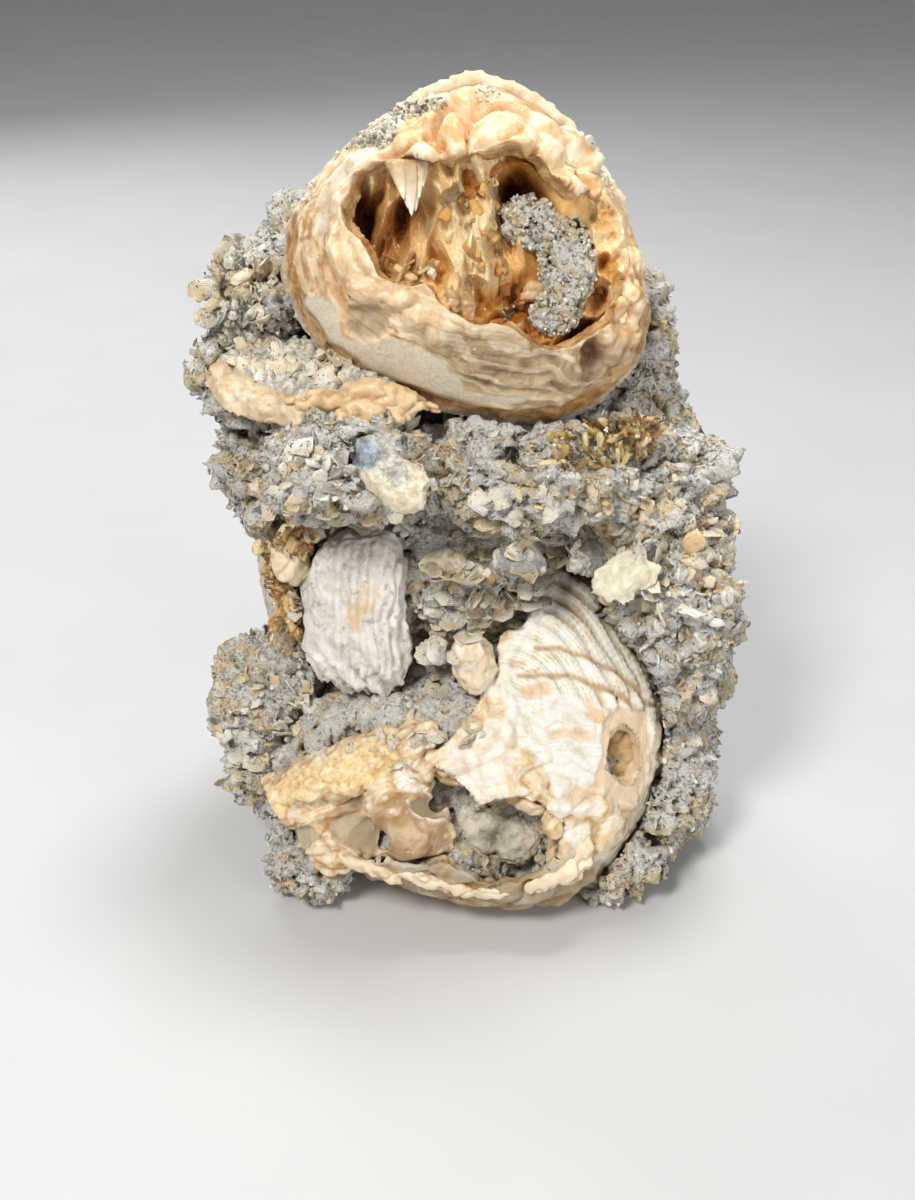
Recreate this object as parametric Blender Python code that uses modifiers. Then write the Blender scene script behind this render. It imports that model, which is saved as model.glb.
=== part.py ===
"""A block of shell-hash rock with two calcite-filled fossil clams cemented in it.

The upper clam is broken open and shows a hollow lined with honey calcite crystals. The lower clam is
broken along its front edge and shows its growth ridges and a plug of grey sediment. Smaller valves,
shell fragments and crystal crusts sit in the rock between and around them.

Metres, +Z up, the front faces -Y. The origin is on the flat spot that the block rests on.
"""

import math
import random

import bmesh
import bpy
from mathutils import Matrix, Vector, noise

MM = 0.001
GAP = 1.2
# Between a clam's walls and what fills it, and how far each half of that filling reaches past the seam, in mm
WALL_GAP = 1.1
SEAM_OVERLAP = 1.0

# Colours: linear red, green, blue
ROCK_GREY = (0.30, 0.29, 0.27)
SAND_GREY = (0.26, 0.26, 0.25)
CREAM = (0.72, 0.52, 0.33)
CHALK = (0.78, 0.74, 0.68)
PEACH = (0.70, 0.42, 0.22)
HONEY = (0.62, 0.31, 0.08)
SLATE = (0.20, 0.23, 0.27)
BUFF = (0.60, 0.52, 0.33)
TAN = (0.48, 0.38, 0.24)

# The two clams: where the middle of each outline lies, and how far its plane leans back
UPPER_ORIGIN = Vector((0.8, -4.0, 143.4)) * MM
UPPER_ELEVATION = 20
LOWER_ORIGIN = Vector((1.0, -24.0, 33.5)) * MM
LOWER_AZIMUTH = 5
LOWER_ELEVATION = 35

# Outlines: the distance from the middle to the margin in mm, every 30 degrees from the right-hand side
UPPER_FRONT_OUTLINE = (34.5, 30.0, 30.5, 29.5, 30.5, 33.5, 38.8, 38.2, 34.0, 34.5, 40.5, 42.0)
UPPER_BACK_OUTLINE = (35.0, 33.0, 33.8, 35.7, 32.0, 33.0, 36.0, 36.0, 33.0, 33.0, 36.0, 37.0)
LOWER_OUTLINE = (45.5, 47.5, 50.0, 38.0, 28.0, 33.0, 45.5, 42.0, 34.5, 35.5, 41.0, 42.5)


def remove_startup_objects():
    for obj in list(bpy.data.objects):
        bpy.data.objects.remove(obj)


def new_collection(name, hidden=False):
    collection = bpy.data.collections.new(name)
    bpy.context.scene.collection.children.link(collection)
    collection.hide_render = hidden
    return collection


def material(name, colour, roughness):
    made = bpy.data.materials.new(name)
    made.use_nodes = True
    shader = made.node_tree.nodes["Principled BSDF"]
    shader.inputs["Base Color"].default_value = (*colour, 1.0)
    shader.inputs["Roughness"].default_value = roughness
    return made


def add_object(name, bm, collection, surface=None):
    """Makes an object from a bmesh, in a collection."""
    mesh = bpy.data.meshes.new(name)
    bm.to_mesh(mesh)
    bm.free()
    obj = bpy.data.objects.new(name, mesh)
    collection.objects.link(obj)
    if surface:
        mesh.materials.append(surface)
    if collection.hide_render:
        obj.hide_render = True
        obj.display_type = "WIRE"
    return obj


def facing(origin, azimuth, elevation, roll=0.0):
    """A frame whose local Z points to the front, turned azimuth to the right and raised by elevation."""
    turn = Matrix.Rotation(math.radians(azimuth), 4, "Z")
    raise_front = Matrix.Rotation(math.radians(90 - elevation), 4, "X")
    spin = Matrix.Rotation(math.radians(roll), 4, "Z")
    return Matrix.Translation(origin) @ turn @ raise_front @ spin


def outline_radius(outline, angle):
    """The outline's radius at an angle, by a smooth closed curve through its points."""
    count = len(outline)
    place = (angle / math.tau * count) % count
    first = int(place)
    share = place - first
    p0, p1, p2, p3 = (outline[(first + k) % count] for k in (-1, 0, 1, 2))
    bend = 2 * p0 - 5 * p1 + 4 * p2 - p3
    twist = 3 * (p1 - p2) + p3 - p0
    return MM * (p1 + 0.5 * share * (p2 - p0 + share * (bend + share * twist)))


def dome_height(growth, inflation):
    return inflation * max(0.0, 1 - growth**2.2) ** 0.6


def dome_mesh(outline, apex, inflation, rings, segments, ridges=0, ridge_depth=0.0, grow=0.0, flat=None):
    """A valve's outer surface. Growth runs from 0 at the apex to 1 at the margin, and each ring of
    vertices is a growth line. With flat, the lower half is pressed to that height to close the body."""
    bm = bmesh.new()
    bmesh.ops.create_uvsphere(bm, u_segments=segments, v_segments=2 * rings, radius=1.0)
    if flat is None:
        below = [v for v in bm.verts if v.co.z < -1e-4]
        bmesh.ops.delete(bm, geom=below, context="VERTS")
    for v in bm.verts:
        growth = min(1.0, math.acos(max(-1.0, min(1.0, abs(v.co.z)))) / (math.pi / 2))
        angle = math.atan2(v.co.y, v.co.x)
        margin = outline_radius(outline, angle) + grow
        ridge = ridge_depth * (0.5 - 0.5 * math.cos(math.tau * ridges * growth)) if growth > 0.3 else 0.0
        height = dome_height(growth, inflation + grow) + ridge * (1 - growth**6)
        if v.co.z < -1e-4:
            height = flat
        x = (1 - growth) * apex[0] * MM + growth * margin * math.cos(angle)
        y = (1 - growth) * apex[1] * MM + growth * margin * math.sin(angle)
        v.co = Vector((x, y, height))
    return bm


def valve(name, frame, outline, apex, inflation, thickness, rings, segments, collection, surface, **ridges):
    """A domed shell of even thickness with a flat margin, open on its inner side."""
    bm = dome_mesh(outline, apex, inflation * MM, rings, segments, **ridges)
    obj = add_object(name, bm, collection, surface)
    wall = obj.modifiers.new("wall", "SOLIDIFY")
    wall.thickness = thickness * MM
    wall.offset = -1
    wall.use_even_offset = False
    settle(obj)
    for vertex in obj.data.vertices:
        vertex.co.z = max(0.0, vertex.co.z)
    obj.data.transform(frame)
    return obj


def valve_body(name, frame, outline, apex, inflation, rings, segments, collection, grow=0.0, flat=0.0):
    """The closed space that a valve takes up, with its hollow, made larger by grow."""
    bm = dome_mesh(outline, apex, inflation * MM, rings, segments, grow=grow, flat=flat - grow)
    obj = add_object(name, bm, collection)
    obj.matrix_world = frame
    return obj


def ripple(point, scale, seed):
    """Smooth noise between about -1 and 1."""
    return noise.noise(point / scale + Vector((seed * 7.31, seed * 3.17, seed * 5.53)))


def add_lump(bm, centre, radii, turn=0.0, fineness=2, roughness=0.0, seed=0.0):
    """Adds one rounded lump to a bmesh. Sizes are in mm, and turn is about Z in degrees."""
    made = bmesh.ops.create_icosphere(bm, subdivisions=fineness, radius=1.0)["verts"]
    spin = Matrix.Rotation(math.radians(turn), 3, "Z")
    size = min(radii)
    for v in made:
        swell = 1 + roughness * ripple(v.co, 0.7, seed + 1)
        local = Vector((v.co.x * radii[0], v.co.y * radii[1], v.co.z * radii[2])) * swell
        local += v.co * (0.4 * roughness * size * ripple(v.co, 0.3, seed + 2))
        v.co = (Vector(centre) + spin @ local) * MM


def lumps(name, places, collection, surface=None, frame=None, roughness=0.12, fineness=2):
    """Several lumps as one mesh. They may overlap; a remesh or a Boolean joins them."""
    bm = bmesh.new()
    for index, place in enumerate(places):
        centre, radii = place[0], place[1]
        turn = place[2] if len(place) > 2 else 0.0
        add_lump(bm, centre, radii, turn, fineness, roughness, index * 1.7)
    obj = add_object(name, bm, collection, surface)
    if frame:
        obj.matrix_world = frame
    return obj


def fuse(obj, voxel, faces):
    """Melts overlapping lumps into one skin and thins it to about that many triangles."""
    melt = obj.modifiers.new("melt", "REMESH")
    melt.mode = "VOXEL"
    melt.voxel_size = voxel * MM
    thin = obj.modifiers.new("thin", "DECIMATE")
    graph = bpy.context.evaluated_depsgraph_get()
    graph.update()
    count = len(obj.evaluated_get(graph).data.polygons)
    thin.ratio = min(1.0, faces / max(1, 2 * count))


def roughen(obj, depth, scale):
    """Raises lumps and sinks pits in a settled object, both sizes in mm."""
    bm = bmesh.new()
    bm.from_mesh(obj.data)
    moves = [v.normal * (depth * MM * ripple(v.co / MM, scale, 3)) for v in bm.verts]
    for v, move in zip(bm.verts, moves):
        v.co += move
    bm.to_mesh(obj.data)
    bm.free()
    return obj


def boolean(obj, other, operation="DIFFERENCE"):
    cut = obj.modifiers.new(operation.lower() + "_" + other.name, "BOOLEAN")
    cut.operation = operation
    cut.object = other
    cut.solver = "EXACT"


def settle(obj):
    """Applies an object's modifiers and its place, so that others can be cut with it."""
    bpy.context.view_layer.update()
    graph = bpy.context.evaluated_depsgraph_get()
    mesh = bpy.data.meshes.new_from_object(obj.evaluated_get(graph))
    mesh.transform(obj.matrix_world)
    obj.modifiers.clear()
    obj.data = mesh
    obj.matrix_world = Matrix.Identity(4)
    return obj


def drop_crumbs(obj):
    """Keeps only the largest connected piece of a settled object."""
    bm = bmesh.new()
    bm.from_mesh(obj.data)
    waiting = set(bm.verts)
    pieces = []
    while waiting:
        piece = {waiting.pop()}
        edge = list(piece)
        while edge:
            vert = edge.pop()
            for link in vert.link_edges:
                other = link.other_vert(vert)
                if other in waiting:
                    waiting.discard(other)
                    piece.add(other)
                    edge.append(other)
        pieces.append(piece)
    largest = max(pieces, key=len)
    crumbs = [v for piece in pieces if piece is not largest for v in piece]
    bmesh.ops.delete(bm, geom=crumbs, context="VERTS")
    bm.to_mesh(obj.data)
    bm.free()
    return obj


def torn_edges(mesh):
    """How many edges of a mesh don't join exactly two faces."""
    bm = bmesh.new()
    bm.from_mesh(mesh)
    count = sum(len(edge.link_faces) != 2 for edge in bm.edges)
    bm.free()
    return count


def thin(obj, triangles):
    """Collapses the shortest edges of a settled object until about that many triangles are left.
    A collapse can tear the skin, so the number is raised a little until it comes out whole."""
    drop_crumbs(obj)
    whole = obj.data
    count = sum(len(face.vertices) - 2 for face in whole.polygons)
    for attempt in range(12):
        obj.data = whole
        collapse = obj.modifiers.new("thin", "DECIMATE")
        collapse.ratio = min(1.0, (1 + 0.02 * attempt) * triangles / count)
        settle(obj)
        if torn_edges(obj.data) == 0:
            break
    return obj


def joined(name, objects, collection):
    """One mesh made of several settled objects."""
    bm = bmesh.new()
    for obj in objects:
        bm.from_mesh(obj.data)
    return add_object(name, bm, collection)


def grow_together(obj, points, faces):
    """Melts crystal points into a settled crust."""
    bm = bmesh.new()
    bm.from_mesh(obj.data)
    bm.from_mesh(points.data)
    bm.to_mesh(obj.data)
    bm.free()
    fuse(obj, CRYSTAL_VOXEL, faces)
    return settle(obj)


def room_for(objects, cutters, gap, faces, voxel=1.0):
    """One closed body that holds these settled objects with a gap round them, to cut a neighbour with."""
    room = joined("room_beside_" + objects[0].name, objects, cutters)
    move = room.modifiers.new("swell", "DISPLACE")
    move.strength = gap * MM
    move.mid_level = 0.0
    fuse(room, voxel, faces)
    return settle(room)


def crystal_points(name, places, collection, frame=None):
    """Calcite points: six-sided cones, each from a base, a direction, a length and a radius in mm."""
    bm = bmesh.new()
    for base, direction, length, radius in places:
        axis = Vector(direction).normalized()
        turn = axis.to_track_quat("Z", "Y").to_matrix().to_4x4()
        sink = 0.3 * length
        middle = Vector(base) + axis * (0.5 * length - sink)
        place = Matrix.Translation(middle * MM) @ turn
        bmesh.ops.create_cone(
            bm,
            cap_ends=True,
            segments=6,
            radius1=radius * MM,
            radius2=0.2 * radius * MM,
            depth=length * MM,
            matrix=place,
        )
    obj = add_object(name, bm, collection)
    if frame:
        obj.matrix_world = frame
    return obj


def hollow_floor(hollows, x, y):
    """How deep the hollow reaches at a place on the clam's plane, in mm, or None outside it."""
    depths = []
    for centre, radii in hollows:
        inside = 1 - ((x - centre[0]) / radii[0]) ** 2 - ((y - centre[1]) / radii[1]) ** 2
        if inside > 0.05:
            depths.append(centre[2] - radii[2] * math.sqrt(inside))
    return min(depths) if depths else None


# The upper clam, in the frame of its own plane, in mm
UPPER_APEX = (6, 10)
UPPER_INFLATION = 23
UPPER_WALL = 4.2
UPPER_SEAM = 2.6
UPPER_BREAK = (
    ((-12, 4, 22), (12, 13, 14)),
    ((6, 3, 24), (17, 14, 14)),
    ((17, -8, 22), (16, 15, 14)),
    ((3, -8, 22), (11, 9, 12)),
    ((23, 0, 20), (9, 10, 12)),
)
UPPER_HOLLOWS = (
    ((-13, 4, 10), (10, 9.5, 14)),
    ((-4, -2, 18), (20, 10, 11)),
    ((9, 9, 12), (5, 5.5, 11)),
    ((6, -10, 15), (15, 6.5, 9)),
    ((14, 0, 20), (17, 13, 11)),
    ((25, -17, 13), (5.5, 7, 13)),
    ((24, -6, 19), (8, 14, 10)),
)
UPPER_SAND = (
    ((11.5, 4, 11.5), (6, 5, 4)),
    ((19, -4, 12.5), (5.5, 10, 4.5)),
    ((17, -13, 12), (5, 5, 4.5)),
)
CRYSTAL_COUNT = 32
CRYSTAL_VOXEL = 0.6

# The lower clam, in the frame of its own plane, in mm
LOWER_APEX = (-5, -8)
LOWER_INFLATION = 21
LOWER_WALL = 3.8
LOWER_SEAM = 0.8
LOWER_BREAK = (
    ((-29, -12, 12), (20, 13, 24)),
    ((-12, -13, 16), (12, 12, 20)),
    ((6, -20, 16), (14, 10.5, 20)),
    ((-20, 14, 16), (26, 16, 24)),
    ((-4, 24, 16), (12, 14, 20)),
    ((5, 37, 14), (12, 13, 16)),
    ((34, -3, 14), (5, 7, 9)),
)
LOWER_HOLLOWS = (
    ((-29, -10, 14), (22, 16, 15)),
    ((-10, -10, 18), (16, 14, 15)),
    ((6, -20, 14), (13, 9, 10)),
    ((-14, -25, 6), (5, 3.5, 9)),
    ((9, -28, 6), (5, 3.5, 9)),
    ((-17, 19, 21), (24, 17, 12)),
    ((3, 32, 18), (11, 14, 11)),
    ((34, -4, 14), (7, 8, 9)),
)
LOWER_CALCITE = (
    ((-41, -8, 3), (6, 5, 6)),
    ((-35, -5, 6), (7, 5.5, 7)),
    ((-27, -2, 10), (8, 5.5, 7)),
    ((-19, 1, 13), (8, 5, 7)),
    ((-11, 1, 15), (8, 5.5, 6)),
    ((-3, -2, 16), (7, 4.5, 6)),
    ((4, -5, 17), (6, 4.5, 5)),
    ((-16, -12, 11), (8, 8, 8)),
    ((-11, -17, 9), (6, 5, 6)),
    ((-30, -15, 2), (11, 8, 6)),
    ((-29, -22, 3), (8, 4, 4)),
    ((13, -10, 15), (6, 4, 4)),
    ((19, -14, 14), (4, 6, 5)),
    ((20, -24, 8), (4, 6, 6)),
)

# The two crusts of crystals outside the clams: lumps of their base, and the middle and reach of their points
POCKET_BASE = (
    ((26, -17, 106), (13, 5, 4)),
    ((12, -22, 104), (5, 4, 4)),
    ((36, -18, 109), (5, 5, 4)),
)
POCKET_SPREAD = ((26, -20, 107), (12, 3, 2))
SIDE_BASE = (
    ((-40, -12, 74), (5, 5, 12)),
    ((-37, -14, 62), (4, 4, 7)),
    ((-35, -17, 84), (5, 4, 5)),
)
SIDE_SPREAD = ((-40, -15, 72), (4, 2, 12))

# The rock: each lump's middle and radii in mm
ROCK_LUMPS = {
    "core low": ((2, 2, 20), (50, 34, 24)),
    "core middle": ((4, 8, 70), (44, 28, 40)),
    "core high": ((2, 16, 118), (36, 22, 34)),
    "right shoulder": ((38, 0, 84), (20, 26, 24)),
    "right middle": ((42, -4, 56), (19, 26, 24)),
    "right knob": ((56, -6, 40), (8, 9, 7)),
    "right low": ((40, -8, 20), (20, 26, 22)),
    "right upper": ((34, 8, 118), (12, 18, 18)),
    "right tip": ((50, -4, 94), (9, 9, 7)),
    "left high": ((-42, 4, 132), (12, 14, 10)),
    "left edge": ((-33, 10, 138), (10, 14, 12)),
    "left ledge": ((-46, -4, 116), (12, 16, 8)),
    "left middle": ((-40, 4, 92), (14, 20, 22)),
    "left waist": ((-36, 4, 62), (11, 18, 22)),
    "left low": ((-46, -12, 38), (14, 14, 15)),
    "left low front": ((-44, -18, 26), (13, 12, 10)),
    "left foot": ((-36, -32, 9), (10, 10, 10)),
    "right foot": ((34, -30, 9), (12, 11, 10)),
    "block": ((-24, -26, 107), (16, 14, 11)),
    "block left": ((-32, -22, 102), (10, 12, 9)),
    "band": ((14, -14, 100), (26, 18, 13)),
    "right face": ((44, -16, 66), (16, 16, 20)),
    "middle": ((0, -8, 66), (16, 16, 18)),
    "middle low": ((-4, -14, 44), (20, 14, 12)),
    "top strip": ((-18, 2, 165), (11, 6, 4.5)),
    "top strip left": ((-27, 1, 159), (6, 6, 4.5)),
    "seam strip": ((27, 4, 158), (5, 4, 8)),
    "back high": ((16, 26, 114), (20, 14, 22)),
    "back ledge": ((-8, 30, 104), (16, 12, 12)),
    "back left": ((-24, 24, 84), (20, 16, 24)),
    "back middle": ((8, 28, 74), (24, 14, 20)),
    "back low": ((0, 27, 38), (32, 15, 26)),
    "back right": ((38, 18, 56), (16, 16, 22)),
    "back right low": ((32, 18, 22), (20, 16, 20)),
    "back left low": ((-32, 18, 20), (18, 16, 18)),
}
ROCK_VOXEL = 2.2
ROCK_FACES = 2300
ROCK_LUMPINESS = 3.0
ROCK_LUMP_SIZE = 10
ROOM_GAP = 1.3
ROOM_FACES = 3400


def turned(outline):
    """An outline seen from its other side."""
    count = len(outline)
    return tuple(outline[(count // 2 - k) % count] for k in range(count))


def behind(frame, distance):
    """A frame that looks the other way, set back by a distance in mm."""
    return frame @ Matrix.Translation((0, 0, -distance * MM)) @ Matrix.Rotation(math.pi, 4, "Y")


def clam_bodies(name, frame, outline, back_outline, apex, inflation, seam, cutters, grow):
    """The room that a whole clam takes up: one closed body for each valve, which overlap at the seam."""
    front = valve_body(
        name + "_front", frame, outline, apex, inflation, 7, 28, cutters, grow * MM, flat=-0.5 * seam * MM
    )
    back_apex = (-apex[0], apex[1])
    back = valve_body(
        name + "_back", behind(frame, seam), turned(back_outline), back_apex, inflation, 7, 28, cutters,
        grow * MM, flat=-0.5 * seam * MM,
    )
    return [settle(front), settle(back)]


def clam_filling(name, frame, outline, back_outline, apex, inflation, seam, wall, parts, cutters, surface):
    """What fills a clam inside its walls, as one body across both valves."""
    inset = -(wall + WALL_GAP) * MM
    flat = inset - (0.5 * seam + SEAM_OVERLAP) * MM
    filling = valve_body(name, frame, outline, apex, inflation, 6, 22, parts, inset, flat)
    filling.data.materials.append(surface)
    back_apex = (-apex[0], apex[1])
    rest = valve_body(
        name + "_rest", behind(frame, seam), turned(back_outline), back_apex, inflation, 5, 20, cutters,
        inset, flat,
    )
    boolean(settle(filling), settle(rest), "UNION")
    return settle(filling)


def upper_clam(parts, cutters, look):
    frame = facing(UPPER_ORIGIN, 0, UPPER_ELEVATION)
    front = valve(
        "upper_clam_front_valve", frame, UPPER_FRONT_OUTLINE, UPPER_APEX, UPPER_INFLATION, UPPER_WALL,
        8, 26, parts, look["cream"], ridges=4, ridge_depth=0.5 * MM,
    )
    broken = lumps("upper_break", UPPER_BREAK, cutters, frame=frame, roughness=0.3)
    fuse(broken, 1.2, 500)
    boolean(front, settle(broken))
    thin(settle(front), 620)
    back = valve(
        "upper_clam_back_valve", behind(frame, UPPER_SEAM), turned(UPPER_BACK_OUTLINE),
        (-UPPER_APEX[0], UPPER_APEX[1]), UPPER_INFLATION, 3.4, 5, 20, parts, look["cream"],
        ridges=4, ridge_depth=0.5 * MM,
    )
    settle(back)

    crystals = clam_filling(
        "upper_clam_crystals", frame, UPPER_FRONT_OUTLINE, UPPER_BACK_OUTLINE, UPPER_APEX,
        UPPER_INFLATION, UPPER_SEAM, UPPER_WALL, parts, cutters, look["honey"],
    )
    hollow = lumps("upper_hollow", UPPER_HOLLOWS, cutters, frame=frame, roughness=0.25)
    fuse(hollow, 1.2, 500)
    boolean(crystals, settle(hollow))
    settle(crystals)
    rng = random.Random(4)
    places = []
    while len(places) < CRYSTAL_COUNT:
        x, y = rng.uniform(-21, 27), rng.uniform(-20, 13)
        floor = hollow_floor(UPPER_HOLLOWS, x, y)
        if floor is None or floor > 11:
            continue
        lean = Vector((rng.uniform(-0.5, 0.5) - x * 0.012, rng.uniform(-0.5, 0.5) - y * 0.02, 1))
        places.append(((x, y, floor), lean, rng.uniform(5, 10), rng.uniform(1.3, 2.5)))
    points = crystal_points("upper_crystal_points", places, cutters, frame)
    grow_together(crystals, settle(points), 3200)

    sand = lumps("upper_clam_sand", UPPER_SAND, parts, look["sand"], frame, roughness=0.2, fineness=3)
    fuse(sand, 1.0, 180)
    settle(sand)
    boolean(crystals, room_for([sand, front], cutters, GAP, 1400))
    thin(settle(crystals), 1150)
    return [front, back, crystals, sand]


def lower_clam(parts, cutters, look):
    frame = facing(LOWER_ORIGIN, LOWER_AZIMUTH, LOWER_ELEVATION)
    front = valve(
        "lower_clam_front_valve", frame, LOWER_OUTLINE, LOWER_APEX, LOWER_INFLATION, LOWER_WALL,
        11, 26, parts, look["chalk"], ridges=5, ridge_depth=1.1 * MM,
    )
    broken = lumps("lower_break", LOWER_BREAK, cutters, frame=frame, roughness=0.3)
    fuse(broken, 1.2, 700)
    boolean(front, settle(broken))
    thin(settle(front), 660)
    back = valve(
        "lower_clam_back_valve", behind(frame, LOWER_SEAM), turned(LOWER_OUTLINE),
        (-LOWER_APEX[0], LOWER_APEX[1]),
        LOWER_INFLATION, 3.4, 5, 20, parts, look["cream"], ridges=3, ridge_depth=0.5 * MM,
    )
    settle(back)
    calcite = lumps(
        "lower_clam_calcite", LOWER_CALCITE, parts, look["peach"], frame, roughness=0.35, fineness=3
    )
    fuse(calcite, 1.0, 700)
    settle(calcite)
    boolean(calcite, room_for([front, back], cutters, GAP, 2600))
    thin(settle(calcite), 560)

    sediment = clam_filling(
        "lower_clam_sediment", frame, LOWER_OUTLINE, LOWER_OUTLINE, LOWER_APEX, LOWER_INFLATION, LOWER_SEAM,
        LOWER_WALL, parts, cutters, look["sand"],
    )
    hollow = lumps("lower_hollow", LOWER_HOLLOWS, cutters, frame=frame, roughness=0.4)
    fuse(hollow, 1.2, 600)
    settle(hollow)
    boolean(sediment, room_for([calcite, hollow], cutters, GAP, 1500))
    thin(settle(sediment), 440)
    return [front, back, sediment, calcite]


def small_valves(parts, look):
    """The lesser shells in the rock, each a domed plate with its own place, tilt and outline."""
    made = {}
    rows = (
        # name, place, azimuth, elevation, roll, outline, apex, bulge, wall, colour, ridges
        ("white_valve", (-24, -19.5, 68), -18, 12, 0,
         (13, 15, 20, 21, 18, 14.5, 12.5, 14, 20, 23, 21, 15.5), (1, 14), 8, 2.2, "chalk", 3),
        ("left_thin_valve", (-42, -2, 64), -75, 0, 0,
         (13, 15, 19, 21, 19, 15, 13, 15, 19, 21, 19, 15), (0, 12), 5, 1.6, "peach", 0),
        ("peach_shell_fragment", (-30, -15, 117), 0, 68, -12,
         (24, 22, 14, 12, 13, 20, 25, 22, 15, 13, 15, 21), (0, 2), 6, 3.4, "peach", 0),
        ("blue_shell_fragment", (-16, -37, 109), -10, 40, -38,
         (12.5, 10, 7, 6, 6.5, 9, 11.5, 9, 6.5, 6, 7, 10), (4, 1), 3, 2.2, "slate", 0),
        ("oyster_valve", (33, -31, 82), 18, 30, 12,
         (8.5, 7.5, 6, 5, 5.8, 7.5, 8.5, 7.5, 6, 5.4, 6, 8), (0, 2), 2.2, 1.6, "buff", 0),
        ("grey_shell_left", (12, -25, 83), 0, 45, 15,
         (6.5, 6, 5, 4.6, 5, 6, 6.5, 6, 5, 4.6, 5, 6), (0, 1), 2.4, 1.5, "slate", 0),
        ("grey_shell_right", (25.5, -24, 82), 25, 50, -10,
         (6, 5.6, 5, 4.8, 5, 5.6, 6, 5.6, 5, 4.8, 5, 5.6), (0, 1), 2.4, 1.5, "slate", 0),
        ("rear_large_valve", (10, 34, 60), 172, 12, 20,
         (22, 23, 22, 20, 21, 23, 24, 23, 21, 20, 21, 22), (2, 8), 9, 2.6, "chalk", 4),
        ("rear_small_valve", (-24, 33, 96), 200, 18, -15,
         (12, 12.5, 12, 11, 11.5, 12, 13, 12.5, 11.5, 11, 11.5, 12), (1, 4), 5, 1.8, "cream", 3),
    )
    for name, place, azimuth, elevation, roll, outline, apex, bulge, wall, colour, ridges in rows:
        frame = facing(Vector(place) * MM, azimuth, elevation, roll)
        rings, segments = (5, 16) if max(outline) > 21.5 else (3, 12)
        obj = valve(
            name, frame, outline, apex, bulge, wall, rings, segments, parts, look[colour],
            ridges=ridges, ridge_depth=0.35 * MM,
        )
        made[name] = settle(obj)
    return made


def small_lumps(parts, look):
    rows = (
        ("small_clam", (((2.5, -28, 58.5), (5.2, 6, 8.2), 0), ((1, -30, 63), (4, 4.5, 4.5), 0)), "cream"),
        ("tan_fragment", (((-5, -29, 84), (6, 3, 3), 8), ((1, -28.5, 82), (4, 2.6, 2.4), 0)), "tan"),
        ("white_chip", (((-7.5, -27, 61), (4.2, 2.2, 2.4), 10),), "chalk"),
    )
    made = {}
    for name, places, colour in rows:
        obj = lumps(name, places, parts, look[colour], roughness=0.25, fineness=2)
        fuse(obj, 0.7, 84)
        made[name] = settle(obj)
    return made


def crystal_crust(name, base, spread, count, aim, seed, parts, cutters, surface, neighbours=()):
    """A crust of honey calcite: a lumpy base with points that lean towards aim."""
    crust = lumps(name, base, parts, surface, roughness=0.2)
    fuse(crust, 0.9, 200)
    settle(crust)
    rng = random.Random(seed)
    centre, radii = spread
    places = []
    for _ in range(count):
        offset = Vector([rng.uniform(-1, 1) * r for r in radii])
        lean = Vector(aim) + Vector([rng.uniform(-0.45, 0.45) for _ in range(3)])
        places.append((Vector(centre) + offset, lean, rng.uniform(4, 8), rng.uniform(1.0, 1.8)))
    points = crystal_points(name + "_points", places, cutters)
    grow_together(crust, settle(points), 900)
    if neighbours:
        boolean(crust, room_for(neighbours, cutters, 1.3 * GAP, 1100))
    fuse(crust, CRYSTAL_VOXEL, 320)
    return drop_crumbs(settle(crust))


def rock(parts, cutters, look, clams, others):
    matrix = lumps("matrix", list(ROCK_LUMPS.values()), parts, look["rock"], roughness=0.16, fineness=3)
    fuse(matrix, ROCK_VOXEL, ROCK_FACES)
    roughen(settle(matrix), ROCK_LUMPINESS, ROCK_LUMP_SIZE)
    boolean(matrix, room_for(clams + others, cutters, ROOM_GAP, ROOM_FACES))
    thin(settle(matrix), 2720)
    below = bmesh.new()
    bmesh.ops.create_cube(below, size=1.0)
    for v in below.verts:
        v.co = Vector((v.co.x * 300, v.co.y * 300, v.co.z * 60 - 30)) * MM
    boolean(matrix, add_object("below_the_floor", below, cutters))
    return drop_crumbs(settle(matrix))


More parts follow.
